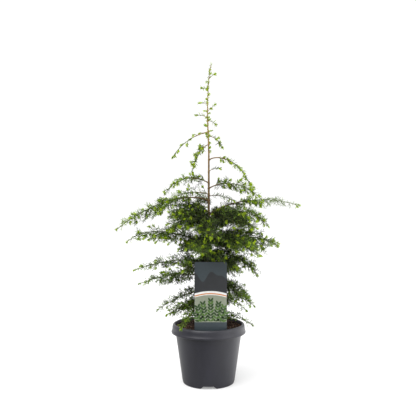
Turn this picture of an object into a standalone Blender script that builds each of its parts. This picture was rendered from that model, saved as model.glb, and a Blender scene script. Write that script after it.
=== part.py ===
"""A young eastern hemlock in a round nursery pot, with the plant label that stands in the pot.

The trunk rises from the potting soil to a thin leader. Boughs leave it all round, arch over and droop.
Each bough carries a flat spray: a three-sided stem, side twigs left and right in turn, and rows of needles.
Metres, +Z up. The origin is the centre of the pot's flat foot, and -Y is the front, where the label stands.
"""

import math
import random

import bmesh
import bpy
import numpy as np
from mathutils import Matrix, Vector

GAP = 0.0003  # clearance where one solid rests on or meets another

# The pot: 190 mm across its rim and 148 mm high, injection moulded.
POT_HEIGHT = 0.148
POT_WALL = 0.0018
POT_STEPS = 36
LIP_RADIUS = 0.0872  # outside of the wall at the lip
LIP_EDGE = 0.0011  # rounding of the lip's inner edge
FOOT_RADIUS = 0.0657  # outside of the wall at the floor
FOOT_EDGE = 0.0022  # rounding of the wall into the foot
FOOT_WIDTH = 0.0052
FOOT_DRAFT = 0.0008
FLOOR_RAISE = 0.0070  # underside of the pot's floor over the foot
RIM_OUTLINE = (  # (beyond the lip's radius, under the lip) from its top round the skirt back to the wall
    (0.0010, 0.0),
    (0.0044, 0.0038),
    (0.0058, 0.0145),
    (0.0074, 0.0188),
    (0.0072, 0.0213),
    (0.0061, 0.0225),
    (0.0048, 0.0214),
    (0.0014, 0.0052),
)
RIM_ROOT = 0.0060  # where the skirt's inside meets the wall
SKIRT_RADIUS = LIP_RADIUS + 0.0074
NOTCH_COUNT = 4
NOTCH_HEIGHT = 0.0068
NOTCH_WIDE = 0.041
NOTCH_NARROW = 0.025
NOTCH_REACH = 0.026  # the cutter's own size, across the foot and below it
NOTCH_BELOW = 0.004
DRAIN_COUNT = 8
DRAIN_RADIUS = 0.004
DRAIN_CIRCLE = 0.043
DRAIN_SIDES = 8

# The soil fills the pot to a little under the lip.
SOIL_EDGE = 0.1410
SOIL_TOP = 0.1450
SOIL_FLAT = 0.016  # flat top round the trunk's foot
SOIL_MOUND = (0.045, 0.1438)  # radius and height half way to the edge

# The label: a plastic card on a pointed foot, pushed into the soil at the front.
LABEL_WIDTH = 0.079
LABEL_TOP = 0.3104
LABEL_THICK = 0.0009
LABEL_X = 0.005
LABEL_Y = -0.066
LABEL_CORNER = 0.003
LABEL_SHOULDER = 0.1335  # where the card narrows to its foot
LABEL_SLOPE = 0.012  # height over which it narrows
LABEL_FOOT_WIDTH = 0.030
LABEL_POINT = 0.078
LABEL_POINT_WIDTH = 0.008
LABEL_BARB = 0.012

# The trunk: almost upright, with a small swing to the left high up and a leader that nods to the right.
TRUNK_LINE = (  # (height, offset to the right)
    (0.137, 0.0),
    (0.160, 0.0),
    (0.300, -0.0010),
    (0.450, 0.0004),
    (0.580, 0.0006),
    (0.620, -0.0006),
    (0.660, -0.0024),
    (0.700, -0.0028),
    (0.750, -0.0010),
    (0.785, 0.0022),
    (0.808, 0.0065),
)
TRUNK_FOOT = SOIL_TOP + GAP
TRUNK_TOP = 0.808
TRUNK_RADIUS = 0.0050
LEADER_RADIUS = 0.0007
TRUNK_TAPER = 1.1  # above 1 the trunk thins faster near its foot
FLARE_RADIUS = 0.0045
FLARE_HEIGHT = 0.009
FLARE_RINGS = (0.0, 0.003, 0.008, 0.018)  # heights over its foot where the flare has a ring
TRUNK_RINGS = 18  # the rings over the flare
TRUNK_START = 0.045  # height of the first of them over its foot
TRUNK_SIDES = 8

# Boughs: where each leaves the trunk, its bearing (0 right, 90 back, 180 left, 270 front), its length
# along the curve, its rise at the trunk and its fall at the tip, how soon it bends over (under 1 is
# early), how much of it is a bare limb (0: the spray starts at the trunk), and how full its spray is.
BOUGHS = {
    "left_1": (0.204, 196, 0.115, 12, -35, 0.64, 0.0, 1.0),
    "left_2": (0.230, 174, 0.144, 2, -39, 0.75, 0.0, 0.75),
    "left_3": (0.264, 188, 0.180, 24, -22, 0.6, 0.2, 0.85),
    "left_4": (0.300, 177, 0.193, 22, -22, 0.6, 0.18, 0.75),
    "left_5": (0.349, 186, 0.219, 20, -44, 2.4, 0.16, 0.8),
    "left_6": (0.459, 177, 0.257, 48, -39, 0.34, 0.16, 0.75),
    "left_7": (0.505, 175, 0.132, 31, -61, 1.05, 0.0, 0.6),
    "left_8": (0.603, 205, 0.092, -4, -80, 0.4, 0.0, 0.5),
    "left_9": (0.635, 178, 0.115, -9, -58, 0.89, 0.0, 0.3),
    "right_1": (0.160, 12, 0.128, 36, -36, 0.5, 0.0, 0.65),
    "right_2": (0.252, -14, 0.130, 32, -54, 0.45, 0.0, 0.85),
    "right_3": (0.246, 8, 0.142, 26, -52, 0.5, 0.0, 0.95),
    "right_4": (0.327, -18, 0.150, 0, -66, 1.9, 0.0, 1.0),
    "right_5": (0.349, 14, 0.202, 24, -30, 1.0, 0.0, 1.2),
    "right_6": (0.416, -9, 0.166, 26, -50, 1.25, 0.16, 0.95),
    "right_7": (0.424, 10, 0.257, 40, -15, 0.6, 0.16, 0.55),
    "right_8": (0.491, -12, 0.155, 34, -50, 0.78, 0.1, 0.75),
    "right_9": (0.563, 3, 0.157, 57, -76, 0.45, 0.14, 0.4),
    "right_10": (0.624, -6, 0.050, 20, -67, 0.45, 0.0, 0.35),
    "front_1": (0.190, 232, 0.126, 12, -48, 1.0, 0.0, 0.8),
    "front_2": (0.226, 328, 0.122, 6, -40, 1.0, 0.0, 0.7),
    "front_3": (0.282, 234, 0.120, 30, -22, 1.0, 0.0, 1.0),
    "front_4": (0.304, 290, 0.142, 26, -20, 1.0, 0.0, 1.1),
    "front_5": (0.344, 262, 0.190, 20, -22, 0.9, 0.0, 1.0),
    "front_6": (0.356, 312, 0.190, 16, -30, 0.9, 0.0, 1.1),
    "front_7": (0.382, 268, 0.205, 24, -26, 0.9, 0.18, 1.0),
    "front_8": (0.412, 236, 0.165, 18, -32, 0.9, 0.0, 1.1),
    "front_9": (0.408, 312, 0.165, 20, -28, 0.9, 0.0, 1.1),
    "front_10": (0.476, 214, 0.100, 16, -22, 0.9, 0.0, 0.6),
    "back_1": (0.196, 124, 0.125, 10, -38, 1.0, 0.0, 0.8),
    "back_2": (0.208, 56, 0.125, 10, -38, 1.0, 0.0, 0.8),
    "back_3": (0.302, 92, 0.150, 14, -24, 1.0, 0.0, 1.0),
    "back_4": (0.283, 58, 0.168, 16, -30, 1.0, 0.0, 1.0),
    "back_5": (0.340, 122, 0.150, 14, -28, 1.0, 0.0, 0.9),
    "back_6": (0.376, 94, 0.204, 20, -24, 0.9, 0.16, 1.0),
    "back_7": (0.409, 55, 0.190, 24, -28, 0.9, 0.0, 1.0),
    "back_8": (0.432, 140, 0.160, 22, -32, 0.9, 0.0, 1.0),
    "back_9": (0.462, 112, 0.110, 14, -26, 0.8, 0.0, 0.7),
}

# Sprouts: short shoots of this year's growth on the trunk's upper part, in the same terms.
SPROUTS = {
    "sprout_1": (0.534, -20, 0.034, 42, -20, 1.0, 0.0),
    "sprout_2": (0.664, 8, 0.024, 0, -50, 1.0, 0.0),
    "sprout_3": (0.672, 188, 0.031, 26, -4, 1.0, 0.0),
    "sprout_4": (0.689, -8, 0.026, 36, 42, 1.0, 0.0),
    "sprout_5": (0.708, 184, 0.021, 6, -6, 1.0, 0.0),
    "sprout_6": (0.745, 172, 0.017, 14, 6, 1.0, 0.0),
    "sprout_7": (0.772, 8, 0.019, 45, 30, 1.0, 0.0),
    "sprout_8": (0.472, -10, 0.067, 8, -31, 1.0, 0.0),
}

LINE_STEP = 0.002  # spacing of the points that describe a limb's line
SEAT_STEP = 0.00005
LIMB_RADIUS = 0.0019  # a bare limb where it leaves the trunk
LIMB_END = 0.0015  # and where its spray begins
LIMB_STEP = 0.010
LIMB_SIDES = 6
SWAY = 7.0  # degrees that a bough swings off its bearing, by turns left and right

# Sprays. Each needle here stands for a tuft of about ten real ones, and is as wide as they are together.
SEGMENT = 0.015  # along a stem from one needle or side twig to the next
SPROUT_SEGMENT = 0.007
STEM_WIDTH = 0.0014  # half the width of a spray's stem at its root
TWIG_WIDTH = 0.0010
TIP_SHARE = 0.55  # width near a shoot's tip as a share of its root's
RIDGE = 1.3  # height of a three-sided stem as a share of half its width
NEEDLE_LENGTH = 0.016
NEEDLE_LEAN = 0.58  # forward reach of a needle as a share of its sideways reach
NEEDLE_TILT = (34.0, -44.0)  # up and down in turn, so that a spray is full from the side too
NEEDLE_TAPER = 0.35  # how much shorter the last needles of a shoot are
STEM_ROLL = 8.0  # the most that a spray's stem turns about its own line
TWIG_ANGLE = 52.0  # between a side twig and its stem
TWIG_CLOSING = 10.0  # how much less that is at the spray's tip
TWIG_SWING = 0.22  # share of it that a twig loses along its length, as it swings forward
TWIG_SINK = 0.0004  # a twig's root lies this far over its stem's underside
TWIG_SHARE = 0.50  # longest side twig as a share of its spray
TWIG_TRIES = (1.0, 0.8, 0.6, 0.45)  # shares of its length that are tried until it fits
TWIG_LEAST = 0.020
TWIG_LEVEL = 0.7  # share of its stem's slope that a twig starts with
TWIG_DROOP = 34.0  # how far a side twig bends down along its length
TWIG_PITCH = (-26.0, 16.0)  # how far it starts above or under its stem's own slope
TWIG_ROLL = 34.0
SPACE_GAP = 0.0012  # how much nearer a spray stays to its own line than to any other
TRUNK_CLEAR = 0.0024
POT_CLEAR = 0.003
LABEL_CLEAR = 0.005
CROWN_FOOT = 0.10  # nothing droops lower

# Colours as linear values, with roughness.
PLASTIC_GREY = ((0.060, 0.062, 0.069), 0.45)
PEAT_BROWN = ((0.020, 0.012, 0.008), 0.95)
CARD_GREY = ((0.045, 0.050, 0.058), 0.40)
BARK_BROWN = ((0.130, 0.070, 0.035), 0.80)
NEEDLE_GREEN = ((0.090, 0.150, 0.035), 0.60)
SHOOT_GREEN = ((0.210, 0.330, 0.060), 0.60)


def clear_scene():
    for obj in list(bpy.data.objects):
        bpy.data.objects.remove(obj, do_unlink=True)


def new_collection(name, hidden=False):
    collection = bpy.data.collections.new(name)
    bpy.context.scene.collection.children.link(collection)
    collection.hide_render = hidden
    return collection


def plain_material(name, colour, roughness):
    material = bpy.data.materials.new(name)
    material.use_nodes = True
    shader = material.node_tree.nodes["Principled BSDF"]
    shader.inputs["Base Color"].default_value = (*colour, 1.0)
    shader.inputs["Roughness"].default_value = roughness
    return material


def add_object(name, data, collection, material=None):
    obj = bpy.data.objects.new(name, data)
    collection.objects.link(obj)
    if material:
        data.materials.append(material)
    return obj


def as_cutter(obj):
    obj.hide_render = True
    obj.display_type = "WIRE"
    return obj


def cut(obj, cutter):
    modifier = obj.modifiers.new("cut_" + cutter.name, "BOOLEAN")
    modifier.operation = "DIFFERENCE"
    modifier.solver = "EXACT"
    modifier.object = cutter


def turned_object(name, profile, steps, collection, material):
    """A profile of (radius, height) points, turned once round the vertical axis."""
    mesh = bpy.data.meshes.new(name)
    points = [(radius, 0.0, height) for radius, height in profile]
    mesh.from_pydata(points, [(i, i + 1) for i in range(len(points) - 1)], [])
    obj = add_object(name, mesh, collection, material)
    screw = obj.modifiers.new("turn", "SCREW")
    screw.axis = "Z"
    screw.steps = steps
    screw.render_steps = steps
    screw.use_merge_vertices = True
    screw.merge_threshold = 0.00001
    return obj


def tube_object(name, points, radii, sides, collection, material):
    """A round limb along points, with a radius for each, cut square at both ends."""
    curve = bpy.data.curves.new(name, "CURVE")
    curve.dimensions = "3D"
    curve.bevel_depth = 1.0
    curve.bevel_resolution = sides // 2 - 2  # which gives this many sides
    curve.use_fill_caps = True
    spline = curve.splines.new("POLY")
    spline.points.add(len(points) - 1)
    for spot, point, radius in zip(spline.points, points, radii):
        spot.co = (*point, 1.0)
        spot.radius = radius
    return add_object(name, curve, collection, material)


# The pot and what stands in it


def wall_radius(height):
    """Outside of the pot's straight wall at a height."""
    return FOOT_RADIUS + (LIP_RADIUS - FOOT_RADIUS) * height / POT_HEIGHT


def pot_profile():
    """From the floor's centre over the inside, the lip, the skirt and the wall to the underside's centre."""
    floor_top = FLOOR_RAISE + POT_WALL
    inner_lip = LIP_RADIUS - POT_WALL
    foot_inside = FOOT_RADIUS - FOOT_WIDTH
    return [
        (0.0, floor_top),
        (wall_radius(floor_top) - POT_WALL, floor_top),
        (inner_lip, POT_HEIGHT - LIP_EDGE),
        (inner_lip + LIP_EDGE / 2, POT_HEIGHT),
        *[(LIP_RADIUS + out, POT_HEIGHT - drop) for out, drop in RIM_OUTLINE],
        (wall_radius(POT_HEIGHT - RIM_ROOT), POT_HEIGHT - RIM_ROOT),
        (wall_radius(2 * FOOT_EDGE), 2 * FOOT_EDGE),
        (FOOT_RADIUS - 0.3 * FOOT_EDGE, 0.3 * FOOT_EDGE),
        (FOOT_RADIUS - FOOT_EDGE, 0.0),
        (foot_inside, 0.0),
        (foot_inside - FOOT_DRAFT, FLOOR_RAISE),
        (0.0, FLOOR_RAISE),
    ]


def notch_cutter(index, cutters):
    """A drain notch through the foot: a block whose top is narrower than its bottom."""
    slope = (NOTCH_WIDE - NOTCH_NARROW) / NOTCH_HEIGHT
    mesh = bpy.data.meshes.new("notch")
    shape = bmesh.new()
    bmesh.ops.create_cube(shape, size=1.0)
    for vertex in shape.verts:
        top = vertex.co.z > 0
        vertex.co.x = FOOT_RADIUS + NOTCH_REACH * vertex.co.x
        vertex.co.y *= NOTCH_NARROW if top else NOTCH_WIDE + slope * NOTCH_BELOW
        vertex.co.z = NOTCH_HEIGHT if top else -NOTCH_BELOW
    shape.to_mesh(mesh)
    shape.free()
    cutter = as_cutter(add_object(f"notch_{index}", mesh, cutters))
    cutter.rotation_euler.z = math.tau * index / NOTCH_COUNT
    return cutter


def drain_cutter(index, cutters):
    mesh = bpy.data.meshes.new("drain")
    shape = bmesh.new()
    bmesh.ops.create_cone(
        shape,
        cap_ends=True,
        segments=DRAIN_SIDES,
        radius1=DRAIN_RADIUS,
        radius2=DRAIN_RADIUS,
        depth=4 * POT_WALL,
    )
    shape.to_mesh(mesh)
    shape.free()
    cutter = as_cutter(add_object(f"drain_{index}", mesh, cutters))
    angle = math.tau * (index + 0.5) / DRAIN_COUNT
    height = FLOOR_RAISE + POT_WALL / 2
    cutter.location = (DRAIN_CIRCLE * math.cos(angle), DRAIN_CIRCLE * math.sin(angle), height)
    return cutter


def build_pot(parts, cutters):
    material = plain_material("moulded_plastic", *PLASTIC_GREY)
    pot = turned_object("pot", pot_profile(), POT_STEPS, parts, material)
    for index in range(NOTCH_COUNT):
        cut(pot, notch_cutter(index, cutters))
    for index in range(DRAIN_COUNT):
        cut(pot, drain_cutter(index, cutters))


def label_outline(grow):
    """Half the label's outline, from its foot's point up to the middle of its top edge."""
    half = LABEL_WIDTH / 2 + grow
    foot = LABEL_FOOT_WIDTH / 2 + grow
    corner = [
        (half - LABEL_CORNER * (1 - math.cos(a)), LABEL_TOP - LABEL_CORNER * (1 - math.sin(a)))
        for a in (0.0, math.pi / 4, math.pi / 2)
    ]
    return [
        (LABEL_POINT_WIDTH / 2 + grow, LABEL_POINT - grow),
        (foot, LABEL_POINT + LABEL_BARB),
        (foot, LABEL_SHOULDER - LABEL_SLOPE),
        (half, LABEL_SHOULDER),
        *corner,
    ]


def label_object(name, grow, collection, material=None):
    """The card as a flat outline with thickness, upright and facing the front."""
    curve = bpy.data.curves.new(name, "CURVE")
    curve.dimensions = "2D"
    curve.fill_mode = "BOTH"
    curve.extrude = LABEL_THICK / 2 + grow
    half = label_outline(grow)
    outline = half + [(-x, z) for x, z in reversed(half)]
    spline = curve.splines.new("POLY")
    spline.points.add(len(outline) - 1)
    for spot, (x, z) in zip(spline.points, outline):
        spot.co = (x, z, 0.0, 1.0)
    spline.use_cyclic_u = True
    obj = add_object(name, curve, collection, material)
    obj.location = (LABEL_X, LABEL_Y, 0.0)
    obj.rotation_euler.x = math.radians(90)
    return obj


def mesh_from_curve(obj, collection):
    """The curve's shape as a mesh object in the same place, with its caps welded on."""
    bpy.context.view_layer.update()
    graph = bpy.context.evaluated_depsgraph_get()
    mesh = bpy.data.meshes.new_from_object(obj.evaluated_get(graph))
    shape = bmesh.new()
    shape.from_mesh(mesh)
    bmesh.ops.remove_doubles(shape, verts=shape.verts, dist=0.000001)
    bmesh.ops.recalc_face_normals(shape, faces=shape.faces)
    shape.to_mesh(mesh)
    shape.free()
    made = add_object(obj.name + "_mesh", mesh, collection)
    made.matrix_world = obj.matrix_world.copy()
    bpy.data.objects.remove(obj, do_unlink=True)
    return made


def build_soil(parts, cutters):
    """Potting soil: it fills the pot, and has a slot for the label's foot."""
    material = plain_material("peat_soil", *PEAT_BROWN)
    floor = FLOOR_RAISE + POT_WALL + GAP
    inset = POT_WALL + 1.5 * GAP
    profile = [
        (0.0, SOIL_TOP),
        (SOIL_FLAT, SOIL_TOP),
        SOIL_MOUND,
        (wall_radius(SOIL_EDGE) - inset, SOIL_EDGE),
        (wall_radius(floor) - inset, floor),
        (0.0, floor),
    ]
    soil = turned_object("potting_soil", profile, POT_STEPS, parts, material)
    slot = mesh_from_curve(label_object("label_slot", GAP, cutters), cutters)
    cut(soil, as_cutter(slot))


# The lines that the limbs follow


def trunk_at(height):
    heights, offsets = zip(*TRUNK_LINE)
    return Vector((float(np.interp(height, heights, offsets)), 0.0, height))


def trunk_radius(height):
    """The trunk tapers to the leader and flares at its foot."""
    share = (TRUNK_TOP - height) / (TRUNK_TOP - TRUNK_FOOT)
    flare = FLARE_RADIUS * math.exp(-(height - TRUNK_FOOT) / FLARE_HEIGHT)
    return LEADER_RADIUS + (TRUNK_RADIUS - LEADER_RADIUS) * share**TRUNK_TAPER + flare


def limb_line(number, height, bearing, length, rise, fall, bend):
    """Points LINE_STEP apart from the trunk's middle to the limb's tip. Its slope goes from rise to fall."""
    sway = SWAY if number % 2 else -SWAY
    steps = max(4, round(length / LINE_STEP))
    point = trunk_at(height)
    line = [point.copy()]
    for step in range(steps):
        share = (step + 0.5) / steps
        slope = math.radians(rise + (fall - rise) * share**bend)
        heading = math.radians(bearing + sway * share)
        ahead = Vector((math.cos(heading), math.sin(heading), math.tan(slope)))
        point = point + ahead.normalized() * (length / steps)
        line.append(point.copy())
    return line


def point_on(line, distance):
    """The point this far along a line."""
    step = (line[1] - line[0]).length
    index = min(int(distance / step), len(line) - 2)
    return line[index].lerp(line[index + 1], distance / step - index)


def stretch(line, start, end, step):
    """Points along a line from one distance to another, about a step apart."""
    count = max(1, round((end - start) / step))
    return [point_on(line, start + (end - start) * i / count) for i in range(count + 1)]


def line_length(line):
    return (line[1] - line[0]).length * (len(line) - 1)


def seat_distance(line):
    """How far along its line a limb starts, so that its square end just clears the trunk."""
    distance = 0.0
    while True:
        point = point_on(line, distance)
        ahead = (point_on(line, distance + LINE_STEP) - point).normalized()
        clear = (point - trunk_at(point.z)).length - LIMB_RADIUS * max(0.0, ahead.z)
        if clear >= trunk_radius(point.z) + GAP:
            return distance
        distance += SEAT_STEP


# The space that each spray keeps to


class Space:
    """Every point of a spray is nearer to its own bough's line than to any other.

    It is also clear of the trunk, the pot and the label.
    """

    def __init__(self, lines):
        self.points = {name: np.array([tuple(p) for p in line[::2]]) for name, line in lines.items()}
        heights = np.arange(TRUNK_FOOT, TRUNK_TOP, 2 * LINE_STEP)
        self.points["trunk"] = np.array([tuple(trunk_at(h)) for h in heights])

    def distance(self, spots, name):
        away = spots[:, None, :] - self.points[name][None, :, :]
        return np.sqrt((away**2).sum(axis=2)).min(axis=1)

    def holds(self, points, own):
        spots = np.array([tuple(p) for p in points])
        if touches_pot(spots) or touches_label(spots):
            return False
        limit = self.distance(spots, own) + SPACE_GAP
        trunk = max(trunk_radius(spot[2]) for spot in spots) + TRUNK_CLEAR
        if (self.distance(spots, "trunk") < trunk).any():
            return False
        return not any(
            (self.distance(spots, name) < limit).any() for name in self.points if name != own
        )


def touches_pot(spots):
    """Inside the pot and over its soil, or against its rim."""
    across = np.hypot(spots[:, 0], spots[:, 1])
    low = spots[:, 2] < POT_HEIGHT + POT_CLEAR
    return bool((low & (across < SKIRT_RADIUS + POT_CLEAR)).any() or (spots[:, 2] < CROWN_FOOT).any())


def touches_label(spots):
    """In front of the label, where nothing hides it, or against it."""
    beside = np.abs(spots[:, 0] - LABEL_X) < LABEL_WIDTH / 2 + LABEL_CLEAR
    before = spots[:, 1] < LABEL_Y + LABEL_CLEAR
    return bool((beside & before & (spots[:, 2] < LABEL_TOP + LABEL_CLEAR)).any())


# Sprays


def shoot_frame(path, index, roll):
    """(ahead, side, up) of a shoot at one of its points, rolled about its own line."""
    last = len(path) - 1
    ahead = (path[min(index + 1, last)] - path[max(index - 1, 0)]).normalized()
    side = ahead.cross(Vector((0.0, 0.0, 1.0))).normalized()
    up = side.cross(ahead).normalized()
    turn = Matrix.Rotation(math.radians(roll), 3, ahead)
    return ahead, turn @ side, turn @ up


def needle_tip(path, index, side_sign, roll, length):
    ahead, side, up = shoot_frame(path, index, roll)
    reach = length / math.hypot(1.0, NEEDLE_LEAN)
    tilt = math.radians(NEEDLE_TILT[(index + (side_sign > 0)) % 2])
    out = side_sign * math.cos(tilt) * side + math.sin(tilt) * up
    return path[index].lerp(path[index + 1], 0.5) + reach * (out + NEEDLE_LEAN * ahead)


def shoot_mesh(path, width, roll, needles):
    """A three-sided stem that tapers to a point. Each needle is a spike on the stem's flank.

    needles holds (segment, side) pairs with the length of each needle, side being 1 or -1.
    """
    shape = bmesh.new()
    rings = []
    for index, point in enumerate(path[:-1]):
        share = index / (len(path) - 1)
        half = width * (1 - (1 - TIP_SHARE) * share)
        _, side, up = shoot_frame(path, index, roll)
        corners = (point + half * side, point - half * side, point + RIDGE * half * up)
        rings.append([shape.verts.new(corner) for corner in corners])
    tip = shape.verts.new(path[-1])
    shape.faces.new(rings[0])
    for index in range(len(path) - 1):
        here = rings[index]
        ahead = rings[index + 1] if index + 1 < len(rings) else None
        for a, b, sign in ((0, 1, 0), (1, 2, -1), (2, 0, 1)):
            if ahead is None:
                shape.faces.new((here[a], here[b], tip))
                continue
            edge = (here[a], here[b], ahead[b], ahead[a])
            length = needles.get((index, sign))
            if length is None:
                shape.faces.new(edge)
                continue
            point = shape.verts.new(needle_tip(path, index, sign, roll, length))
            for i in range(4):
                shape.faces.new((edge[i], edge[(i + 1) % 4], point))
    bmesh.ops.recalc_face_normals(shape, faces=shape.faces)
    mesh = bpy.data.meshes.new("shoot")
    shape.to_mesh(mesh)
    shape.free()
    return mesh


def needle_rows(path, own, space, roll, first, skipped=()):
    """The needles that fit along a shoot, both sides, from its first leafy segment to its tip."""
    needles = {}
    for index in range(first, len(path) - 2):
        for sign in (1, -1):
            if (index, sign) in skipped:
                continue
            share = index / (len(path) - 1)
            length = NEEDLE_LENGTH * (1.0 - NEEDLE_TAPER * share**3)
            tip = needle_tip(path, index, sign, roll, length)
            middle = path[index].lerp(tip, 0.6)
            if space.holds([tip, middle], own):
                needles[index, sign] = length
    return needles


def twig_path(root, ahead, angle, pitch, length):
    """A side twig's points: it leaves its stem at an angle, swings forward and droops."""
    heading = math.atan2(ahead.y, ahead.x) + math.radians(angle)
    level = math.asin(max(-1.0, min(1.0, ahead.z)))
    slope = TWIG_LEVEL * level + math.radians(pitch)
    count = max(2, round(length / SEGMENT))
    point = root.copy()
    path = [point.copy()]
    for step in range(count):
        share = step / count
        turned = heading - math.radians(TWIG_SWING * angle) * share
        fallen = slope - math.radians(TWIG_DROOP) * share
        way = Vector((math.cos(turned), math.sin(turned), math.tan(fallen))).normalized()
        point = point + way * (length / count)
        path.append(point.copy())
    return path


def twig_profile(share):
    """Length of the twigs along a spray: longest a quarter of the way out, and none at the tip."""
    return min(1.0, 0.55 + 1.8 * share) * (1.0 - share) ** 0.75


def side_twigs(stem, own, fullness, space, draw):
    """Twigs on a stem, one for each segment, left and right in turn, each shortened until it fits."""
    count = len(stem) - 1
    reach = SEGMENT * count
    found = []
    for index in range(count - 1):
        sign = 1 if index % 2 else -1
        share = (index + 0.5) / count
        wanted = TWIG_SHARE * fullness * reach * twig_profile(share) * draw.uniform(0.85, 1.15)
        roll = draw.uniform(-TWIG_ROLL, TWIG_ROLL)
        pitch = draw.uniform(*TWIG_PITCH)
        ahead = (stem[index + 1] - stem[index]).normalized()
        root = stem[index].lerp(stem[index + 1], 0.5) + Vector((0.0, 0.0, TWIG_SINK))
        angle = -sign * (TWIG_ANGLE - TWIG_CLOSING * share)
        for attempt in TWIG_TRIES:
            length = wanted * attempt
            if length < TWIG_LEAST:
                break
            path = twig_path(root, ahead, angle, pitch, length)
            if space.holds(path[1:], own):
                found.append((index, sign, path, roll))
                break
    return found


def fuse(first, collection):
    """Joins every other object of the collection to the first, and removes them."""
    others = [obj for obj in collection.objects if obj != first]
    if others:
        pile = bpy.data.collections.new("pile")
        for obj in others:
            pile.objects.link(obj)
        modifier = first.modifiers.new("join", "BOOLEAN")
        modifier.operation = "UNION"
        modifier.operand_type = "COLLECTION"
        modifier.solver = "EXACT"
        modifier.collection = pile
        bpy.context.view_layer.update()
        graph = bpy.context.evaluated_depsgraph_get()
        joined = bpy.data.meshes.new_from_object(first.evaluated_get(graph))
        first.modifiers.clear()
        first.data = joined
        for obj in others:
            bpy.data.objects.remove(obj, do_unlink=True)
        bpy.data.collections.remove(pile)


def build_spray(name, own, line, start, fullness, space, parts, material):
    """A mass of foliage as one solid: the stem along its line, its side twigs and their needles.

    A sprout has no fullness and no side twigs, and its stem is finer.
    """
    segment = SEGMENT if fullness else SPROUT_SEGMENT
    stem = stretch(line, start, line_length(line), segment)
    draw = random.Random("twigs of " + own)
    twigs = side_twigs(stem, own, fullness, space, draw) if fullness else []
    taken = {(index, sign) for index, sign, _, _ in twigs}
    work = bpy.data.collections.new("work")
    bpy.context.scene.collection.children.link(work)
    roll = draw.uniform(-STEM_ROLL, STEM_ROLL)
    rows = needle_rows(stem, own, space, roll, 0, taken)
    width = STEM_WIDTH if fullness else TWIG_WIDTH
    first = add_object(name, shoot_mesh(stem, width, roll, rows), work)
    for index, sign, path, twig_roll in twigs:
        rows = needle_rows(path, own, space, twig_roll, 1)
        add_object(f"twig_{index}", shoot_mesh(path, TWIG_WIDTH, twig_roll, rows), work)
    fuse(first, work)
    work.objects.unlink(first)
    bpy.data.collections.remove(work)
    parts.objects.link(first)
    first.data.materials.clear()
    first.data.materials.append(material)


def build_trunk(parts, bark):
    """From its flat cut on the soil to the tip of its leader."""
    flare = [TRUNK_FOOT + ring for ring in FLARE_RINGS]
    heights = flare + list(np.linspace(TRUNK_FOOT + TRUNK_START, TRUNK_TOP, TRUNK_RINGS))
    points = [trunk_at(height) for height in heights]
    radii = [trunk_radius(height) for height in heights]
    tube_object("trunk", points, radii, TRUNK_SIDES, parts, bark)


def build_bough(name, line, start, end, parts, bark):
    """The bare limb between the trunk and a spray."""
    points = stretch(line, start, end, LIMB_STEP)
    radii = np.linspace(LIMB_RADIUS, LIMB_END, len(points))
    tube_object(name, points, radii, LIMB_SIDES, parts, bark)


def main():
    clear_scene()
    parts = new_collection("potted_hemlock")
    cutters = new_collection("cutters", hidden=True)
    build_pot(parts, cutters)
    build_soil(parts, cutters)
    label_object("plant_label", 0.0, parts, plain_material("label_card", *CARD_GREY))

    bark = plain_material("hemlock_bark", *BARK_BROWN)
    needles = plain_material("hemlock_needles", *NEEDLE_GREEN)
    young = plain_material("young_needles", *SHOOT_GREEN)
    build_trunk(parts, bark)
    limbs = {**BOUGHS, **SPROUTS}
    lines = {name: limb_line(i, *row[:6]) for i, (name, row) in enumerate(limbs.items())}
    space = Space(lines)
    for name, row in limbs.items():
        line = lines[name]
        start = seat_distance(line)
        bare = row[6]
        if bare:
            end = bare * line_length(line)
            build_bough("bough_" + name, line, start, end, parts, bark)
            start = end + GAP
        if name in BOUGHS:
            build_spray("foliage_" + name, name, line, start, row[7], space, parts, needles)
        else:
            build_spray(name, name, line, start, None, space, parts, young)


main()
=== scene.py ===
"""A young eastern hemlock in a round grey nursery pot: its finish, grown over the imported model.

Metres, +Z up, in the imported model's own frame, with -Y to the front. The limbs follow the lines of the
solid limbs, and the sprays branch by the same rule, carried on to finer twigs and single needles.
"""

import math
import random

import bmesh
import bpy
import numpy as np
from mathutils import Matrix, Vector, noise

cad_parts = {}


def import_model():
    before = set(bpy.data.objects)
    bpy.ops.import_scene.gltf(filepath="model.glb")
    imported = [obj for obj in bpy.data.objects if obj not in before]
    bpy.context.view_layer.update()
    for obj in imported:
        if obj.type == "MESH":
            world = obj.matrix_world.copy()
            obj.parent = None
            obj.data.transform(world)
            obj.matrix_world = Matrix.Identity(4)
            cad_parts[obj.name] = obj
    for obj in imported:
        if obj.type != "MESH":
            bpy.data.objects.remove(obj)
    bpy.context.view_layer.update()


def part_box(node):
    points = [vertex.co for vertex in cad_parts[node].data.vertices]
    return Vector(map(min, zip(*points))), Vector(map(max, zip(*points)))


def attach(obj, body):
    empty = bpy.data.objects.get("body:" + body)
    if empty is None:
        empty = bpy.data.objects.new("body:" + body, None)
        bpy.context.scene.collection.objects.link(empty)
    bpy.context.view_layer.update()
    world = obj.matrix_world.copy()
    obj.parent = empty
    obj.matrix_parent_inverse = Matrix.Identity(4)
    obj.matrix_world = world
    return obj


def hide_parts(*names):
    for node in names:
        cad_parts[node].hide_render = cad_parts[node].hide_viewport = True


MM = 0.001
GAP = 0.0003  # clearance where one solid rests on another

# The photograph's view
CAMERA_PLACE = (-0.0015, -1.39, 0.44)
CAMERA_LENS = 47.05
CAMERA_SENSOR = 36.0

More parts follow.
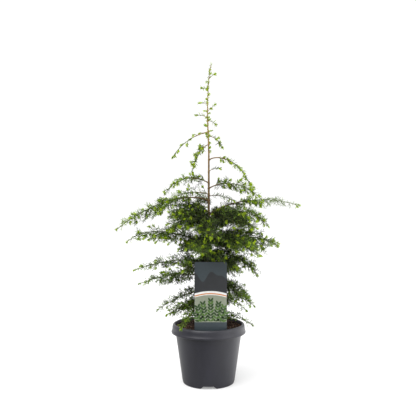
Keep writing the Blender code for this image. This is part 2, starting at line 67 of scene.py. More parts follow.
# The studio's light: a dome that is brightest overhead, two soft lamps and what the floor gives back
DOME_EDGE = 0.45
DOME_TOP = 1.9
DOME_FRONT = 0.15  # the dome's level at the camera's side as a share of the rest
BACKDROP = 1.1
RIGHT_WALL = 1.8
LAMPS = {  # (power, spread, angle from straight down, turn: negative shines from the left)
    "key": (2.8, 60.0, 42.0, -36.0),
    "fill": (0.9, 90.0, 68.0, 32.0),
}
FLOOR_BOUNCE = {  # how much light the table gives back: (from, to, level there, level here) on each axis
    "Y": (-0.30, 0.15, 0.25, 0.60),
    "X": (-0.05, 0.22, 0.0, 0.38),
}
TABLE_GLOW = 0.30

# The pot
POT_HEIGHT = 0.148
POT_WALL = 0.0018
POT_STEPS = 128
LIP_RADIUS = 0.0872
LIP_EDGE = 0.0011
FOOT_RADIUS = 0.0657
FOOT_EDGE = 0.0022
FOOT_WIDTH = 0.0052
FOOT_DRAFT = 0.0008
FLOOR_RAISE = 0.0070
RIM_OUTLINE = (  # (beyond the lip's radius, under the lip) from its top round the skirt back to the wall
    (0.0010, 0.0),
    (0.0030, 0.0012),
    (0.0044, 0.0038),
    (0.0050, 0.0085),
    (0.0056, 0.0140),
    (0.0065, 0.0168),
    (0.0072, 0.0184),
    (0.0074, 0.0196),
    (0.0073, 0.0208),
    (0.0069, 0.0219),
    (0.0061, 0.0225),
    (0.0053, 0.0222),
    (0.0047, 0.0208),
    (0.0014, 0.0052),
)
RIM_ROOT = 0.0060
SKIRT_RADIUS = LIP_RADIUS + 0.0074
NOTCH_COUNT = 4
NOTCH_HEIGHT = 0.0068
NOTCH_WIDE = 0.041
NOTCH_NARROW = 0.025
NOTCH_REACH = 0.026
NOTCH_BELOW = 0.004
DRAIN_COUNT = 8
DRAIN_RADIUS = 0.004
DRAIN_CIRCLE = 0.043

# The soil
SOIL_EDGE = 0.1410
SOIL_TOP = 0.1450
SOIL_FLAT = 0.016
SOIL_MOUND = (0.045, 0.1438)
SOIL_RINGS = 60
SOIL_STEPS = 150
CRUMBS = 1500

# The label
LABEL_THICK = 0.0009
LABEL_CORNER = 0.003
LABEL_SHOULDER = 0.1335
LABEL_SLOPE = 0.012
LABEL_FOOT_WIDTH = 0.030
LABEL_POINT = 0.078
LABEL_POINT_WIDTH = 0.008
LABEL_BARB = 0.012
PRINT_STEP = 0.0012  # along the edges of the printed shapes
PRINT_LAYER = 0.00003  # each ink's thickness over the one below it
PRINT_MARGIN = 0.0006
HILLS = (0.276, 0.009, 4.2, 0.6, 0.005, 7.4, 2.0)  # height, then swell, waves and start of two rows of hills
BAND = (0.2300, 0.2395, 0.006)  # foot, top and how far its ends drop
STRIPE = (0.2318, 0.2345, 0.006)
FIELD_FOOT = 0.1640
SPRIGS = (  # (place from the middle, foot's height, length, lean to the right in degrees)
    (0.0, 0.1660, 0.055, 0.0),
    (-0.012, 0.1660, 0.050, -9.0),
    (0.012, 0.1660, 0.050, 9.0),
    (-0.021, 0.1660, 0.040, -17.0),
    (0.021, 0.1660, 0.040, 17.0),
    (-0.027, 0.1660, 0.025, -27.0),
    (0.027, 0.1660, 0.025, 27.0),
)
SPRIG_LEAF = (0.0115, 0.0050)  # a leaf's length and width
SPRIG_STEP = 0.0068
INKS = {  # sRGB
    "slate": "3A4348",
    "white": "E6E7E4",
    "amber": "C87A30",
    "cream": "888E7C",
    "leaf": "2C4420",
    "spring": "4C6A30",
}

# The trunk and the limbs, as in the solids
TRUNK_LINE = (  # (height, offset to the right)
    (0.137, 0.0),
    (0.160, 0.0),
    (0.300, -0.0010),
    (0.450, 0.0004),
    (0.580, 0.0006),
    (0.620, -0.0006),
    (0.660, -0.0024),
    (0.700, -0.0028),
    (0.750, -0.0010),
    (0.785, 0.0022),
    (0.808, 0.0065),
)
TRUNK_FOOT = SOIL_TOP + GAP
TRUNK_TOP = 0.808
TRUNK_RADIUS = 0.0050
LEADER_RADIUS = 0.0007
TRUNK_TAPER = 1.1
FLARE_RADIUS = 0.0045
FLARE_HEIGHT = 0.009

# Boughs: where each leaves the trunk, its bearing (0 right, 90 back, 180 left, 270 front), its length
# along the curve, its rise at the trunk and its fall at the tip, how soon it bends over (under 1 is
# early), how much of it is a bare limb (0: the spray starts at the trunk), and how full its spray is.
BOUGHS = {
    "left_1": (0.204, 196, 0.115, 12, -35, 0.64, 0.0, 1.0),
    "left_2": (0.230, 174, 0.144, 2, -39, 0.75, 0.0, 0.75),
    "left_3": (0.264, 188, 0.180, 24, -22, 0.6, 0.2, 0.85),
    "left_4": (0.300, 177, 0.193, 22, -22, 0.6, 0.18, 0.75),
    "left_5": (0.349, 186, 0.219, 20, -44, 2.4, 0.16, 0.8),
    "left_6": (0.459, 177, 0.257, 48, -39, 0.34, 0.16, 0.75),
    "left_7": (0.505, 175, 0.132, 31, -61, 1.05, 0.0, 0.6),
    "left_8": (0.603, 205, 0.092, -4, -80, 0.4, 0.0, 0.5),
    "left_9": (0.635, 178, 0.115, -9, -58, 0.89, 0.0, 0.3),
    "right_1": (0.160, 12, 0.128, 36, -36, 0.5, 0.0, 0.65),
    "right_2": (0.252, -14, 0.130, 32, -54, 0.45, 0.0, 0.85),
    "right_3": (0.246, 8, 0.142, 26, -52, 0.5, 0.0, 0.95),
    "right_4": (0.327, -18, 0.150, 0, -66, 1.9, 0.0, 1.0),
    "right_5": (0.349, 14, 0.202, 24, -30, 1.0, 0.0, 1.2),
    "right_6": (0.416, -9, 0.166, 26, -50, 1.25, 0.16, 0.95),
    "right_7": (0.424, 10, 0.257, 40, -15, 0.6, 0.16, 0.55),
    "right_8": (0.491, -12, 0.155, 34, -50, 0.78, 0.1, 0.75),
    "right_9": (0.563, 3, 0.157, 57, -76, 0.45, 0.14, 0.4),
    "right_10": (0.624, -6, 0.050, 20, -67, 0.45, 0.0, 0.35),
    "front_1": (0.190, 232, 0.126, 12, -48, 1.0, 0.0, 0.8),
    "front_2": (0.226, 328, 0.122, 6, -40, 1.0, 0.0, 0.7),
    "front_3": (0.282, 234, 0.120, 30, -22, 1.0, 0.0, 1.0),
    "front_4": (0.304, 290, 0.142, 26, -20, 1.0, 0.0, 1.1),
    "front_5": (0.344, 262, 0.190, 20, -22, 0.9, 0.0, 1.0),
    "front_6": (0.356, 312, 0.190, 16, -30, 0.9, 0.0, 1.1),
    "front_7": (0.382, 268, 0.205, 24, -26, 0.9, 0.18, 1.0),
    "front_8": (0.412, 236, 0.165, 18, -32, 0.9, 0.0, 1.1),
    "front_9": (0.408, 312, 0.165, 20, -28, 0.9, 0.0, 1.1),
    "front_10": (0.476, 214, 0.100, 16, -22, 0.9, 0.0, 0.6),
    "back_1": (0.196, 124, 0.125, 10, -38, 1.0, 0.0, 0.8),
    "back_2": (0.208, 56, 0.125, 10, -38, 1.0, 0.0, 0.8),
    "back_3": (0.302, 92, 0.150, 14, -24, 1.0, 0.0, 1.0),
    "back_4": (0.283, 58, 0.168, 16, -30, 1.0, 0.0, 1.0),
    "back_5": (0.340, 122, 0.150, 14, -28, 1.0, 0.0, 0.9),
    "back_6": (0.376, 94, 0.204, 20, -24, 0.9, 0.16, 1.0),
    "back_7": (0.409, 55, 0.190, 24, -28, 0.9, 0.0, 1.0),
    "back_8": (0.432, 140, 0.160, 22, -32, 0.9, 0.0, 1.0),
    "back_9": (0.462, 112, 0.110, 14, -26, 0.8, 0.0, 0.7),
}
SPROUTS = {
    "sprout_1": (0.534, -20, 0.034, 42, -20, 1.0, 0.0),
    "sprout_2": (0.664, 8, 0.024, 0, -50, 1.0, 0.0),
    "sprout_3": (0.672, 188, 0.031, 26, -4, 1.0, 0.0),
    "sprout_4": (0.689, -8, 0.026, 36, 42, 1.0, 0.0),
    "sprout_5": (0.708, 184, 0.021, 6, -6, 1.0, 0.0),
    "sprout_6": (0.745, 172, 0.017, 14, 6, 1.0, 0.0),
    "sprout_7": (0.772, 8, 0.019, 45, 30, 1.0, 0.0),
    "sprout_8": (0.472, -10, 0.067, 8, -31, 1.0, 0.0),
}
LINE_STEP = 0.002
SEAT_STEP = 0.00005
LIMB_RADIUS = 0.0019
LIMB_TIP = 0.0006
OLD_WOOD = 0.35  # how much of a limb has the trunk's bark
SWAY = 7.0

# Side twigs, as in the solids
SEGMENT = 0.015
TWIG_ANGLE = 52.0
TWIG_CLOSING = 10.0
TWIG_SWING = 0.22
TWIG_SINK = 0.0004
TWIG_SHARE = 0.50
TWIG_TRIES = (1.0, 0.8, 0.6, 0.45)
TWIG_LEAST = 0.020
TWIG_LEVEL = 0.7
TWIG_DROOP = 34.0
TWIG_PITCH = (-26.0, 16.0)
TWIG_ROLL = 34.0
SPACE_GAP = 0.0012
TRUNK_CLEAR = 0.0024
POT_CLEAR = 0.003
LABEL_CLEAR = 0.005
CROWN_FOOT = 0.10

# Finer growth, on the same stems and twigs
FINE_STEP = 0.004  # along a twig from one of its points to the next
FINE_LEAST = 0.008
FINE_ROLL = 50.0
OPPOSITE_SHARE = (0.45, 0.85)  # a twig across from each of the solids': its length as a share of theirs
OPPOSITE_LEAST = 0.014
OPPOSITE_PITCH = (-42.0, 26.0)
SPUR_LENGTH = 0.040  # short twigs over and under a full spray, more of them inside the crown
SPUR_PITCH = (30.0, 75.0)
SPUR_REACH = 0.15
SPUR_LEAST = 0.35
SPURS_OUTSIDE = 5.0
SPUR_TAPER = 0.62  # how much shorter they are at the spray's tip
SPURS_INSIDE = 18.0
CORE_TOP = (0.43, 0.47)  # the crown's dense core thins out between these heights
OVER_CORE = 0.4
TWIGLET_FIRST = 0.007  # from a twig's root to its first twiglet
TWIGLET_STEP = 0.0054
TWIGLET_MOST = 0.021
TWIGLET_SHARE = 0.60
TWIGLET_ANGLE = 48.0
TWIGLET_PITCH = (-38.0, 26.0)
TWIG_RADII = (0.00070, 0.00040)
TWIGLET_RADII = (0.00050, 0.00030)

# Needles
NEEDLE_STEP = 0.0019  # along a shoot from one needle to the next, on the other side
NEEDLE_LENGTH = 0.0106
NEEDLE_WIDTH = 0.0015
NEEDLE_LEAN = 64.0  # between a needle and its shoot
NEEDLE_LEAN_TIP = 20.0  # how much less that is at the shoot's tip
NEEDLE_LIFT = (56.0, 38.0, 36.0)  # spread of the rise out of the spray's plane: stem, twigs, twiglets
NEEDLE_SPIN = 40.0  # spread of a needle's turn about its own length
NEEDLE_FOLD = 0.26  # depth of a needle's groove as a share of its width
TOP_NEEDLE_SHARE = (0.34, 0.18, 0.16)  # how many stand up from the shoot: stem, twigs, twiglets
TOP_NEEDLE_LENGTH = 0.0065
TUFT_LENGTH = 0.0070  # this year's growth at a shoot's tip
TUFT_NEEDLES = 22
TUFT_NEEDLE = 0.0062
TUFT_WIDTH = 0.0015
TUFT_CHANCE = (0.06, 0.36)  # inside the crown, and how much more at its outside
SHADED_FOOT = (0.27, 0.37)  # below these heights there are fewer tufts, and at last duller ones
FOOT_CHANCE = 0.3
TUFT_STEP = 0.016  # tufts straight on a slender spray's stem
COMBED = ("sprout_1", "sprout_8")  # older sprouts with close needles
CLINGING = ("left_9",)  # sprays of this year's growth alone: short needles that lie along the stem
CLINGING_LENGTH = 0.0055
CLINGING_LEAN = 24.0
BUD = 0.006  # from a stem to the middle of a tuft on it
LEADER_FOOT = 0.58
LEADER_TUFTS = (  # heights of the tufts straight on the leader
    0.587, 0.593, 0.600, 0.609, 0.616, 0.6225, 0.628, 0.634, 0.640, 0.645, 0.650, 0.657,
    0.663, 0.669, 0.675, 0.683, 0.689, 0.697, 0.707, 0.716, 0.726, 0.735, 0.7455, 0.764, 0.784, 0.795,
)
SLENDER = 0.5  # a spray no fuller than this has a tuft on every shoot


# Small tools


def shaded(code, share):
    """A colour written as sRGB hex, made darker."""
    return "".join("%02X" % round(share * int(code[i : i + 2], 16)) for i in (0, 2, 4))


def linear(code):
    """A colour written as sRGB hex, as linear values with alpha."""
    parts = [int(code[i : i + 2], 16) / 255 for i in (0, 2, 4)]
    return (*(p / 12.92 if p <= 0.04045 else ((p + 0.055) / 1.055) ** 2.4 for p in parts), 1.0)


def add_node(tree, kind, inputs=None, stops=None, **settings):
    """Adds a node with its settings. An input is a value or the socket that is linked into it."""
    made = tree.nodes.new(kind)
    for name, value in settings.items():
        setattr(made, name, value)
    for key, value in (inputs or {}).items():
        if isinstance(value, bpy.types.NodeSocket):
            tree.links.new(value, made.inputs[key])
        else:
            made.inputs[key].default_value = value
    if stops:
        elements = made.color_ramp.elements
        while len(elements) < len(stops):
            elements.new(0.5)
        for element, (place, code) in zip(elements, stops):
            element.position = place
            element.color = linear(code)
    return made


def new_material(name, roughness, ior=1.5, specular=0.5):
    """(material, its node tree, its shader) with the constant values set on the shader itself."""
    material = bpy.data.materials.new(name)
    material.use_nodes = True
    tree = material.node_tree
    shader = tree.nodes["Principled BSDF"]
    shader.inputs["Roughness"].default_value = roughness
    shader.inputs["IOR"].default_value = ior
    shader.inputs["Specular IOR Level"].default_value = specular
    return material, tree, shader


def mottle(tree, place, size, stops, detail=3.0, stretch=(1.0, 1.0, 1.0)):
    """A colour that wanders between stops over patches of a size in metres."""
    scaled = add_node(tree, "ShaderNodeMapping", {"Vector": place, "Scale": stretch})
    cloud = add_node(
        tree, "ShaderNodeTexNoise", {"Vector": scaled.outputs["Vector"], "Scale": 1 / size, "Detail": detail}
    )
    ramp = add_node(tree, "ShaderNodeValToRGB", {"Fac": cloud.outputs["Fac"]}, stops)
    return ramp.outputs["Color"]


def grain(tree, shader, place, size, depth, detail=2.0, stretch=(1.0, 1.0, 1.0)):
    """Fine relief of a size and depth in metres, as bump."""
    scaled = add_node(tree, "ShaderNodeMapping", {"Vector": place, "Scale": stretch})
    cloud = add_node(
        tree, "ShaderNodeTexNoise", {"Vector": scaled.outputs["Vector"], "Scale": 1 / size, "Detail": detail}
    )
    bump = add_node(
        tree, "ShaderNodeBump", {"Height": cloud.outputs["Fac"], "Distance": depth, "Strength": 1.0}
    )
    tree.links.new(bump.outputs["Normal"], shader.inputs["Normal"])


def object_place(tree):
    return add_node(tree, "ShaderNodeTexCoord").outputs["Object"]


def mesh_object(name, points, faces, material, smooth=True):
    mesh = bpy.data.meshes.new(name)
    mesh.from_pydata(points, [], faces)
    mesh.update()
    if smooth:
        mesh.shade_smooth()
    mesh.materials.append(material)
    obj = bpy.data.objects.new(name, mesh)
    bpy.context.scene.collection.objects.link(obj)
    return obj


def place_piece(obj, slot, *nodes):
    """The piece rides on the plant's one body, and the parts of these nodes are hidden."""
    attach(obj, "root")
    if nodes:
        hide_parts(*nodes)
    return obj


def applied(obj):
    """The object's mesh with its modifiers worked in."""
    bpy.context.view_layer.update()
    graph = bpy.context.evaluated_depsgraph_get()
    mesh = bpy.data.meshes.new_from_object(obj.evaluated_get(graph))
    obj.modifiers.clear()
    obj.data = mesh
    return obj


# Materials


def moulded_polypropylene():
    """Injection-moulded polypropylene: charcoal, satin, with a faint cloudiness from the melt's flow."""
    material, tree, shader = new_material("moulded_polypropylene", 0.40, 1.49, 0.5)
    place = object_place(tree)
    colour = mottle(tree, place, 22 * MM, ((0.30, "1E1E25"), (0.70, "23232C")), 4.0, (1.0, 1.0, 0.35))
    tree.links.new(colour, shader.inputs["Base Color"])
    # The mould's spark-eroded grain is about 0.2 mm; it is drawn at 0.6 mm to show.
    grain(tree, shader, place, 0.6 * MM, 0.05 * MM)
    return material


def moist_peat():
    """Moist peat with bark fines: patches from nearly black to red-brown at random, matt."""
    material, tree, shader = new_material("moist_peat", 0.92, 1.4, 0.25)
    place = object_place(tree)
    colour = mottle(
        tree, place, 4.0 * MM, ((0.34, "0E0A07"), (0.5, "2C1E17"), (0.6, "543E30"), (0.7, "8C7464")), 4.0
    )
    tree.links.new(colour, shader.inputs["Base Color"])
    grain(tree, shader, place, 0.9 * MM, 0.5 * MM, 4.0)
    return material


def hemlock_bark():
    """Young hemlock bark: thin, scaly, grey-brown at the foot and yellow-brown on the upper stem."""
    material, tree, shader = new_material("hemlock_bark", 0.82, 1.45, 0.3)
    place = object_place(tree)
    height = add_node(tree, "ShaderNodeSeparateXYZ", {"Vector": place}).outputs["Z"]
    share = add_node(
        tree, "ShaderNodeMapRange", {"Value": height, "From Min": 0.40, "From Max": 0.64}
    ).outputs["Result"]
    foot = mottle(tree, place, 3 * MM, ((0.3, "2A2116"), (0.7, "52422C")), 5.0, (1.0, 1.0, 0.3))
    top = mottle(tree, place, 3 * MM, ((0.3, "705636"), (0.7, "A48452")), 5.0, (1.0, 1.0, 0.3))
    mixed = add_node(tree, "ShaderNodeMix", {"Factor": share, 6: foot, 7: top}, data_type="RGBA")
    tree.links.new(mixed.outputs[2], shader.inputs["Base Color"])
    grain(tree, shader, place, 1.0 * MM, 0.25 * MM, 4.0, (1.0, 1.0, 0.35))
    return material


def twig_bark():
    """Bark of last year's twigs: smooth, dull, from yellow-brown to olive."""
    material, tree, shader = new_material("twig_bark", 0.75, 1.45, 0.3)
    place = object_place(tree)
    colour = mottle(tree, place, 4 * MM, ((0.3, "3C4420"), (0.7, "5C6432")))
    tree.links.new(colour, shader.inputs["Base Color"])
    grain(tree, shader, place, 0.6 * MM, 0.08 * MM)
    return material


def waxed_needles(name, dark, light):
    """Hemlock needles: a thin wax over green tissue, satin, a little uneven from needle to needle."""
    material, tree, shader = new_material(name, 0.50, 1.45, 0.22)
    place = object_place(tree)
    colour = mottle(tree, place, 9 * MM, ((0.35, dark), (0.65, light)), 2.0)
    tree.links.new(colour, shader.inputs["Base Color"])
    grain(tree, shader, place, 0.8 * MM, 0.03 * MM)
    return material


def printed_card():
    """Polystyrene label card: charcoal all through, calendered smooth, under a satin varnish."""
    material, tree, shader = new_material("printed_card", 0.34, 1.55, 0.4)
    place = object_place(tree)
    colour = mottle(tree, place, 12 * MM, ((0.3, "242628"), (0.7, "282A2D")))
    tree.links.new(colour, shader.inputs["Base Color"])
    grain(tree, shader, place, 0.5 * MM, 0.01 * MM)
    return material


def printed_ink(name, code):
    """Offset ink on the card: an even tone, a little clouded by the rollers, under the same varnish."""
    material, tree, shader = new_material("printed_ink_" + name, 0.36, 1.5, 0.4)
    place = object_place(tree)
    colour = mottle(tree, place, 6 * MM, ((0.3, shaded(code, 0.95)), (0.7, code)))
    tree.links.new(colour, shader.inputs["Base Color"])
    grain(tree, shader, place, 0.5 * MM, 0.01 * MM)
    return material


# Needle tints: (name, dark end, light end)
# The further in a shoot ends, the darker its tint: partly older needles, partly painted shade; the shade tint is
# painted shade alone.
TINTS = {
    "shade": ("111907", "1D290C"),
    "old": ("40541A", "547026"),
    "mid": ("5E7A24", "789830"),
    "fresh": ("76921E", "92AE2C"),
    "tip": ("94AE16", "B6CC30"),
    "pale": ("7C8C62", "A0AE84"),
}
SHADE, OLD, MID, FRESH, TIP, PALE = range(len(TINTS))
# How far out a shoot ends, as a share of the crown's reach there, for each tint after the first
TINT_STEPS = (0.42, 0.80, 1.20)
TINT_SPREAD = 0.22
NEIGHBOUR_TINT = 0.35  # share of a shoot's needles that are one tint darker or lighter
CROWN_REACH = (  # (height, radius)
    (0.15, 0.12), (0.33, 0.19), (0.43, 0.19), (0.47, 0.11), (0.52, 0.07), (0.62, 0.035), (0.80, 0.03),
)
PALE_BOUGH = "right_7"
PALE_FROM = 0.14
PALE_TO = 0.228  # beyond it the tip has tufts again
TRUNK_AT_TOP = 0.60
DEPTH_SHARE = 0.6
# Painted shade over the label: front shoots near this spot count as further in, so they get darker tints and fewer
# tufts
PAINTED_SHADE_SPOT = (0.018, 0.40)  # x and height
PAINTED_SHADE_SPREAD = (0.055, 0.038)
PAINTED_SHADE_DEPTH = 0.85


# The lines that the limbs follow


def trunk_at(height):
    heights, offsets = zip(*TRUNK_LINE)
    return Vector((float(np.interp(height, heights, offsets)), 0.0, height))


def trunk_radius(height):
    share = max(0.0, (TRUNK_TOP - height) / (TRUNK_TOP - TRUNK_FOOT))
    flare = FLARE_RADIUS * math.exp(-(height - TRUNK_FOOT) / FLARE_HEIGHT)
    return LEADER_RADIUS + (TRUNK_RADIUS - LEADER_RADIUS) * share**TRUNK_TAPER + flare


def limb_line(number, height, bearing, length, rise, fall, bend):
    """Points LINE_STEP apart from the trunk's middle to the limb's tip. Its slope goes from rise to fall."""
    sway = SWAY if number % 2 else -SWAY
    steps = max(4, round(length / LINE_STEP))
    point = trunk_at(height)
    line = [point.copy()]
    for step in range(steps):
        share = (step + 0.5) / steps
        slope = math.radians(rise + (fall - rise) * share**bend)
        heading = math.radians(bearing + sway * share)
        ahead = Vector((math.cos(heading), math.sin(heading), math.tan(slope)))
        point = point + ahead.normalized() * (length / steps)
        line.append(point.copy())
    return line


def point_on(line, distance):
    step = (line[1] - line[0]).length
    index = min(int(distance / step), len(line) - 2)
    return line[index].lerp(line[index + 1], distance / step - index)


def stretch(line, start, end, step):
    count = max(1, round((end - start) / step))
    return [point_on(line, start + (end - start) * i / count) for i in range(count + 1)]


def line_length(line):
    return (line[1] - line[0]).length * (len(line) - 1)


def seat_distance(line):
    """How far along its line a limb leaves the trunk's surface."""
    distance = 0.0
    while True:
        point = point_on(line, distance)
        ahead = (point_on(line, distance + LINE_STEP) - point).normalized()
        clear = (point - trunk_at(point.z)).length - LIMB_RADIUS * max(0.0, ahead.z)
        if clear >= trunk_radius(point.z) + GAP:
            return distance
        distance += SEAT_STEP


class Space:
    """The room of each spray: nearer to its own bough's line than to any other, clear of all else."""

    def __init__(self, lines):
        low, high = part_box("plant_label")
        self.label = ((low.x + high.x) / 2, (low.y + high.y) / 2, (high.x - low.x) / 2, high.z)
        heights = np.arange(TRUNK_FOOT, TRUNK_TOP, 2 * LINE_STEP)
        points = {name: [tuple(p) for p in line[::2]] for name, line in lines.items()}
        points["trunk"] = [tuple(trunk_at(h)) for h in heights]
        self.names = list(points)
        self.spots = np.array([p for name in self.names for p in points[name]])
        self.owner = np.array([i for i, name in enumerate(self.names) for _ in points[name]])

    def clear(self, points, own):
        """For each point, whether it lies in the room of its own spray."""
        points = np.asarray(points, float)
        square = (points**2).sum(1)[:, None] + (self.spots**2).sum(1)[None, :]
        away = np.sqrt(np.maximum(0.0, square - 2 * points @ self.spots.T))
        mine = self.owner == self.names.index(own)
        trunk = self.owner == self.names.index("trunk")
        limit = away[:, mine].min(1) + SPACE_GAP
        fine = away[:, ~mine].min(1) >= limit
        radii = np.array([trunk_radius(z) for z in points[:, 2]]) + TRUNK_CLEAR
        fine &= away[:, trunk].min(1) >= radii
        across = np.hypot(points[:, 0], points[:, 1])
        fine &= ~((points[:, 2] < POT_HEIGHT + POT_CLEAR) & (across < SKIRT_RADIUS + POT_CLEAR))
        fine &= points[:, 2] >= CROWN_FOOT
        x, y, half, top = self.label
        beside = np.abs(points[:, 0] - x) < half + LABEL_CLEAR
        fine &= ~(beside & (points[:, 1] < y + LABEL_CLEAR) & (points[:, 2] < top + LABEL_CLEAR))
        return fine

    def holds(self, path, own):
        return bool(self.clear([tuple(p) for p in path], own).all())


# Twigs


def twig_path(root, ahead, angle, pitch, length, step):
    """A side twig's points: it leaves its stem at an angle, swings forward and droops."""
    heading = math.atan2(ahead.y, ahead.x) + math.radians(angle)
    level = math.asin(max(-1.0, min(1.0, ahead.z)))
    slope = TWIG_LEVEL * level + math.radians(pitch)
    count = max(2, round(length / step))
    point = root.copy()
    path = [point.copy()]
    for index in range(count):
        share = index / count
        turned = heading - math.radians(TWIG_SWING * angle) * share
        fallen = slope - math.radians(TWIG_DROOP) * share
        way = Vector((math.cos(turned), math.sin(turned), math.tan(fallen))).normalized()
        point = point + way * (length / count)
        path.append(point.copy())
    return path


def twig_profile(share):
    """Length of the twigs along a spray: longest a quarter of the way out, and none at the tip."""
    return min(1.0, 0.55 + 1.8 * share) * (1.0 - share) ** 0.75


class Shoot:
    """One stem, twig or twiglet: its points, its radii at root and tip, and how its needles lie."""

    def __init__(self, path, radii, roll, level):
        self.path = np.array([tuple(p) for p in path])
        self.radii = radii
        self.roll = roll
        self.level = level
        steps = np.linalg.norm(np.diff(self.path, axis=0), axis=1)
        self.along = np.concatenate([[0.0], np.cumsum(steps)])
        self.length = self.along[-1]
        ahead = np.gradient(self.path, axis=0)
        self.ahead = ahead / np.linalg.norm(ahead, axis=1)[:, None]
        side = np.cross(self.ahead, (0.0, 0.0, 1.0))
        side /= np.linalg.norm(side, axis=1)[:, None]
        up = np.cross(side, self.ahead)
        turn = math.radians(roll)
        self.side = math.cos(turn) * side + math.sin(turn) * up
        self.up = math.cos(turn) * up - math.sin(turn) * side

    def at(self, distances, values):
        return np.stack([np.interp(distances, self.along, values[:, i]) for i in range(3)], axis=1)


def first_fit(wanted, least, own, space, make):
    """The longest of the tried lengths whose path keeps to the spray's space, or None."""
    for attempt in TWIG_TRIES:
        length = wanted * attempt
        if length < least:
            return None
        if space.holds(make(length, SEGMENT)[1:], own):
            return length
    return None


def side_twigs(stem, own, fullness, space):
    """The solids' own side twigs, and finer ones across from them and over and under the spray."""
    draw = random.Random("twigs of " + own)
    fine = random.Random("finer twigs of " + own)
    count = len(stem) - 1
    reach = SEGMENT * count
    found = []
    for index in range(count - 1):
        sign = 1 if index % 2 else -1
        share = (index + 0.5) / count
        wanted = TWIG_SHARE * fullness * reach * twig_profile(share) * draw.uniform(0.85, 1.15)
        roll = draw.uniform(-TWIG_ROLL, TWIG_ROLL)
        pitch = draw.uniform(*TWIG_PITCH)
        ahead = (stem[index + 1] - stem[index]).normalized()
        sink = Vector((0.0, 0.0, TWIG_SINK))
        angle = -sign * (TWIG_ANGLE - TWIG_CLOSING * share)
        rows = [(0.5, angle, pitch, roll, wanted, TWIG_LEAST)]
        rows.append(
            (
                fine.uniform(0.62, 0.95),
                -angle * fine.uniform(0.8, 1.1),
                fine.uniform(*OPPOSITE_PITCH),
                fine.uniform(-FINE_ROLL, FINE_ROLL),
                max(OPPOSITE_LEAST, wanted * fine.uniform(*OPPOSITE_SHARE)),
                FINE_LEAST,
            )
        )
        inward = max(0.0, 1.0 - math.hypot(stem[index].x, stem[index].y) / SPUR_REACH)
        inward *= float(np.interp(stem[0].z, CORE_TOP, (1.0, OVER_CORE)))
        for spur in range(round((fullness - SPUR_LEAST) * (SPURS_OUTSIDE + SPURS_INSIDE * inward))):
            rows.append(
                (
                    fine.uniform(0.0, 0.9),
                    (1 if spur % 2 else -1) * fine.uniform(20.0, 70.0),
                    fine.choice((1, -1)) * fine.uniform(*SPUR_PITCH),
                    fine.uniform(-90.0, 90.0),
                    SPUR_LENGTH * min(1.0, fullness) * (1 - SPUR_TAPER * share) * fine.uniform(0.5, 1.1),
                    FINE_LEAST,
                )
            )
        for where, angle, pitch, roll, wanted, least in rows:
            root = stem[index].lerp(stem[index + 1], where) + sink

            def make(length, step, root=root, ahead=ahead, angle=angle, pitch=pitch):
                return twig_path(root, ahead, angle, pitch, length, step)

            length = first_fit(wanted, least, own, space, make)
            if length:
                found.append(Shoot(make(length, FINE_STEP), TWIG_RADII, roll, 1))
    return found


def twiglets(twig, own, space, draw):
    """Short shoots left and right in turn along a side twig."""
    found = []
    place = TWIGLET_FIRST * draw.uniform(0.8, 1.3)
    sign = draw.choice((-1, 1))
    while place < twig.length - FINE_LEAST:
        wanted = min(TWIGLET_MOST, TWIGLET_SHARE * (twig.length - place)) * draw.uniform(0.7, 1.15)
        root = Vector(twig.at([place], twig.path)[0])
        ahead = Vector(twig.at([place], twig.ahead)[0])
        angle = sign * TWIGLET_ANGLE * draw.uniform(0.85, 1.15)
        pitch = draw.uniform(*TWIGLET_PITCH)

        def make(length, step, root=root, ahead=ahead, angle=angle, pitch=pitch):
            return twig_path(root, ahead, angle, pitch, length, min(step, FINE_STEP))

        length = first_fit(wanted, FINE_LEAST, own, space, make)
        if length:
            roll = twig.roll + draw.uniform(-FINE_ROLL, FINE_ROLL)
            found.append(Shoot(make(length, FINE_STEP), TWIGLET_RADII, roll, 2))
        place += TWIGLET_STEP * draw.uniform(0.8, 1.2)
        sign = -sign
    return found


# Needles


def unit(vectors):
    return vectors / np.linalg.norm(vectors, axis=1)[:, None]


def spun(way, normal, degrees):
    """The needles' faces, turned about their own length."""
    spin = np.radians(degrees)[:, None]
    return unit(np.cos(spin) * normal + np.sin(spin) * np.cross(way, normal))


def outward(shoot):
    """How far out a shoot ends, as a share of the crown's reach there. Front and back count for less,
    and the painted shade spot over the label in front for less still, so shoots there get darker tints."""
    x, y, z = shoot.path[-1]
    share = math.hypot(x, DEPTH_SHARE * y) / float(np.interp(z, *zip(*CROWN_REACH)))
    if y > 0:
        return share
    # Painted shade: shoots near this spot in front count as further in and get darker tints.
    aside = math.hypot((x - PAINTED_SHADE_SPOT[0]) / PAINTED_SHADE_SPREAD[0], (z - PAINTED_SHADE_SPOT[1]) / PAINTED_SHADE_SPREAD[1])
    return share * (1 - PAINTED_SHADE_DEPTH * math.exp(-(aside**2)))


def shoot_tint(shoot, own, draw):
    """Dark inside the crown, lighter towards its outside, partly older needles and partly painted shade; pale at the
    end of one bough.
    """
    x, y, z = shoot.path[-1]
    if own == PALE_BOUGH and x > PALE_FROM:
        return draw.choice((MID, PALE), p=(0.3, 0.7))
    if own in CLINGING or own in SPROUTS and z > TRUNK_AT_TOP:
        return FRESH
    return int(np.searchsorted(TINT_STEPS, outward(shoot) + draw.normal(0.0, TINT_SPREAD)))


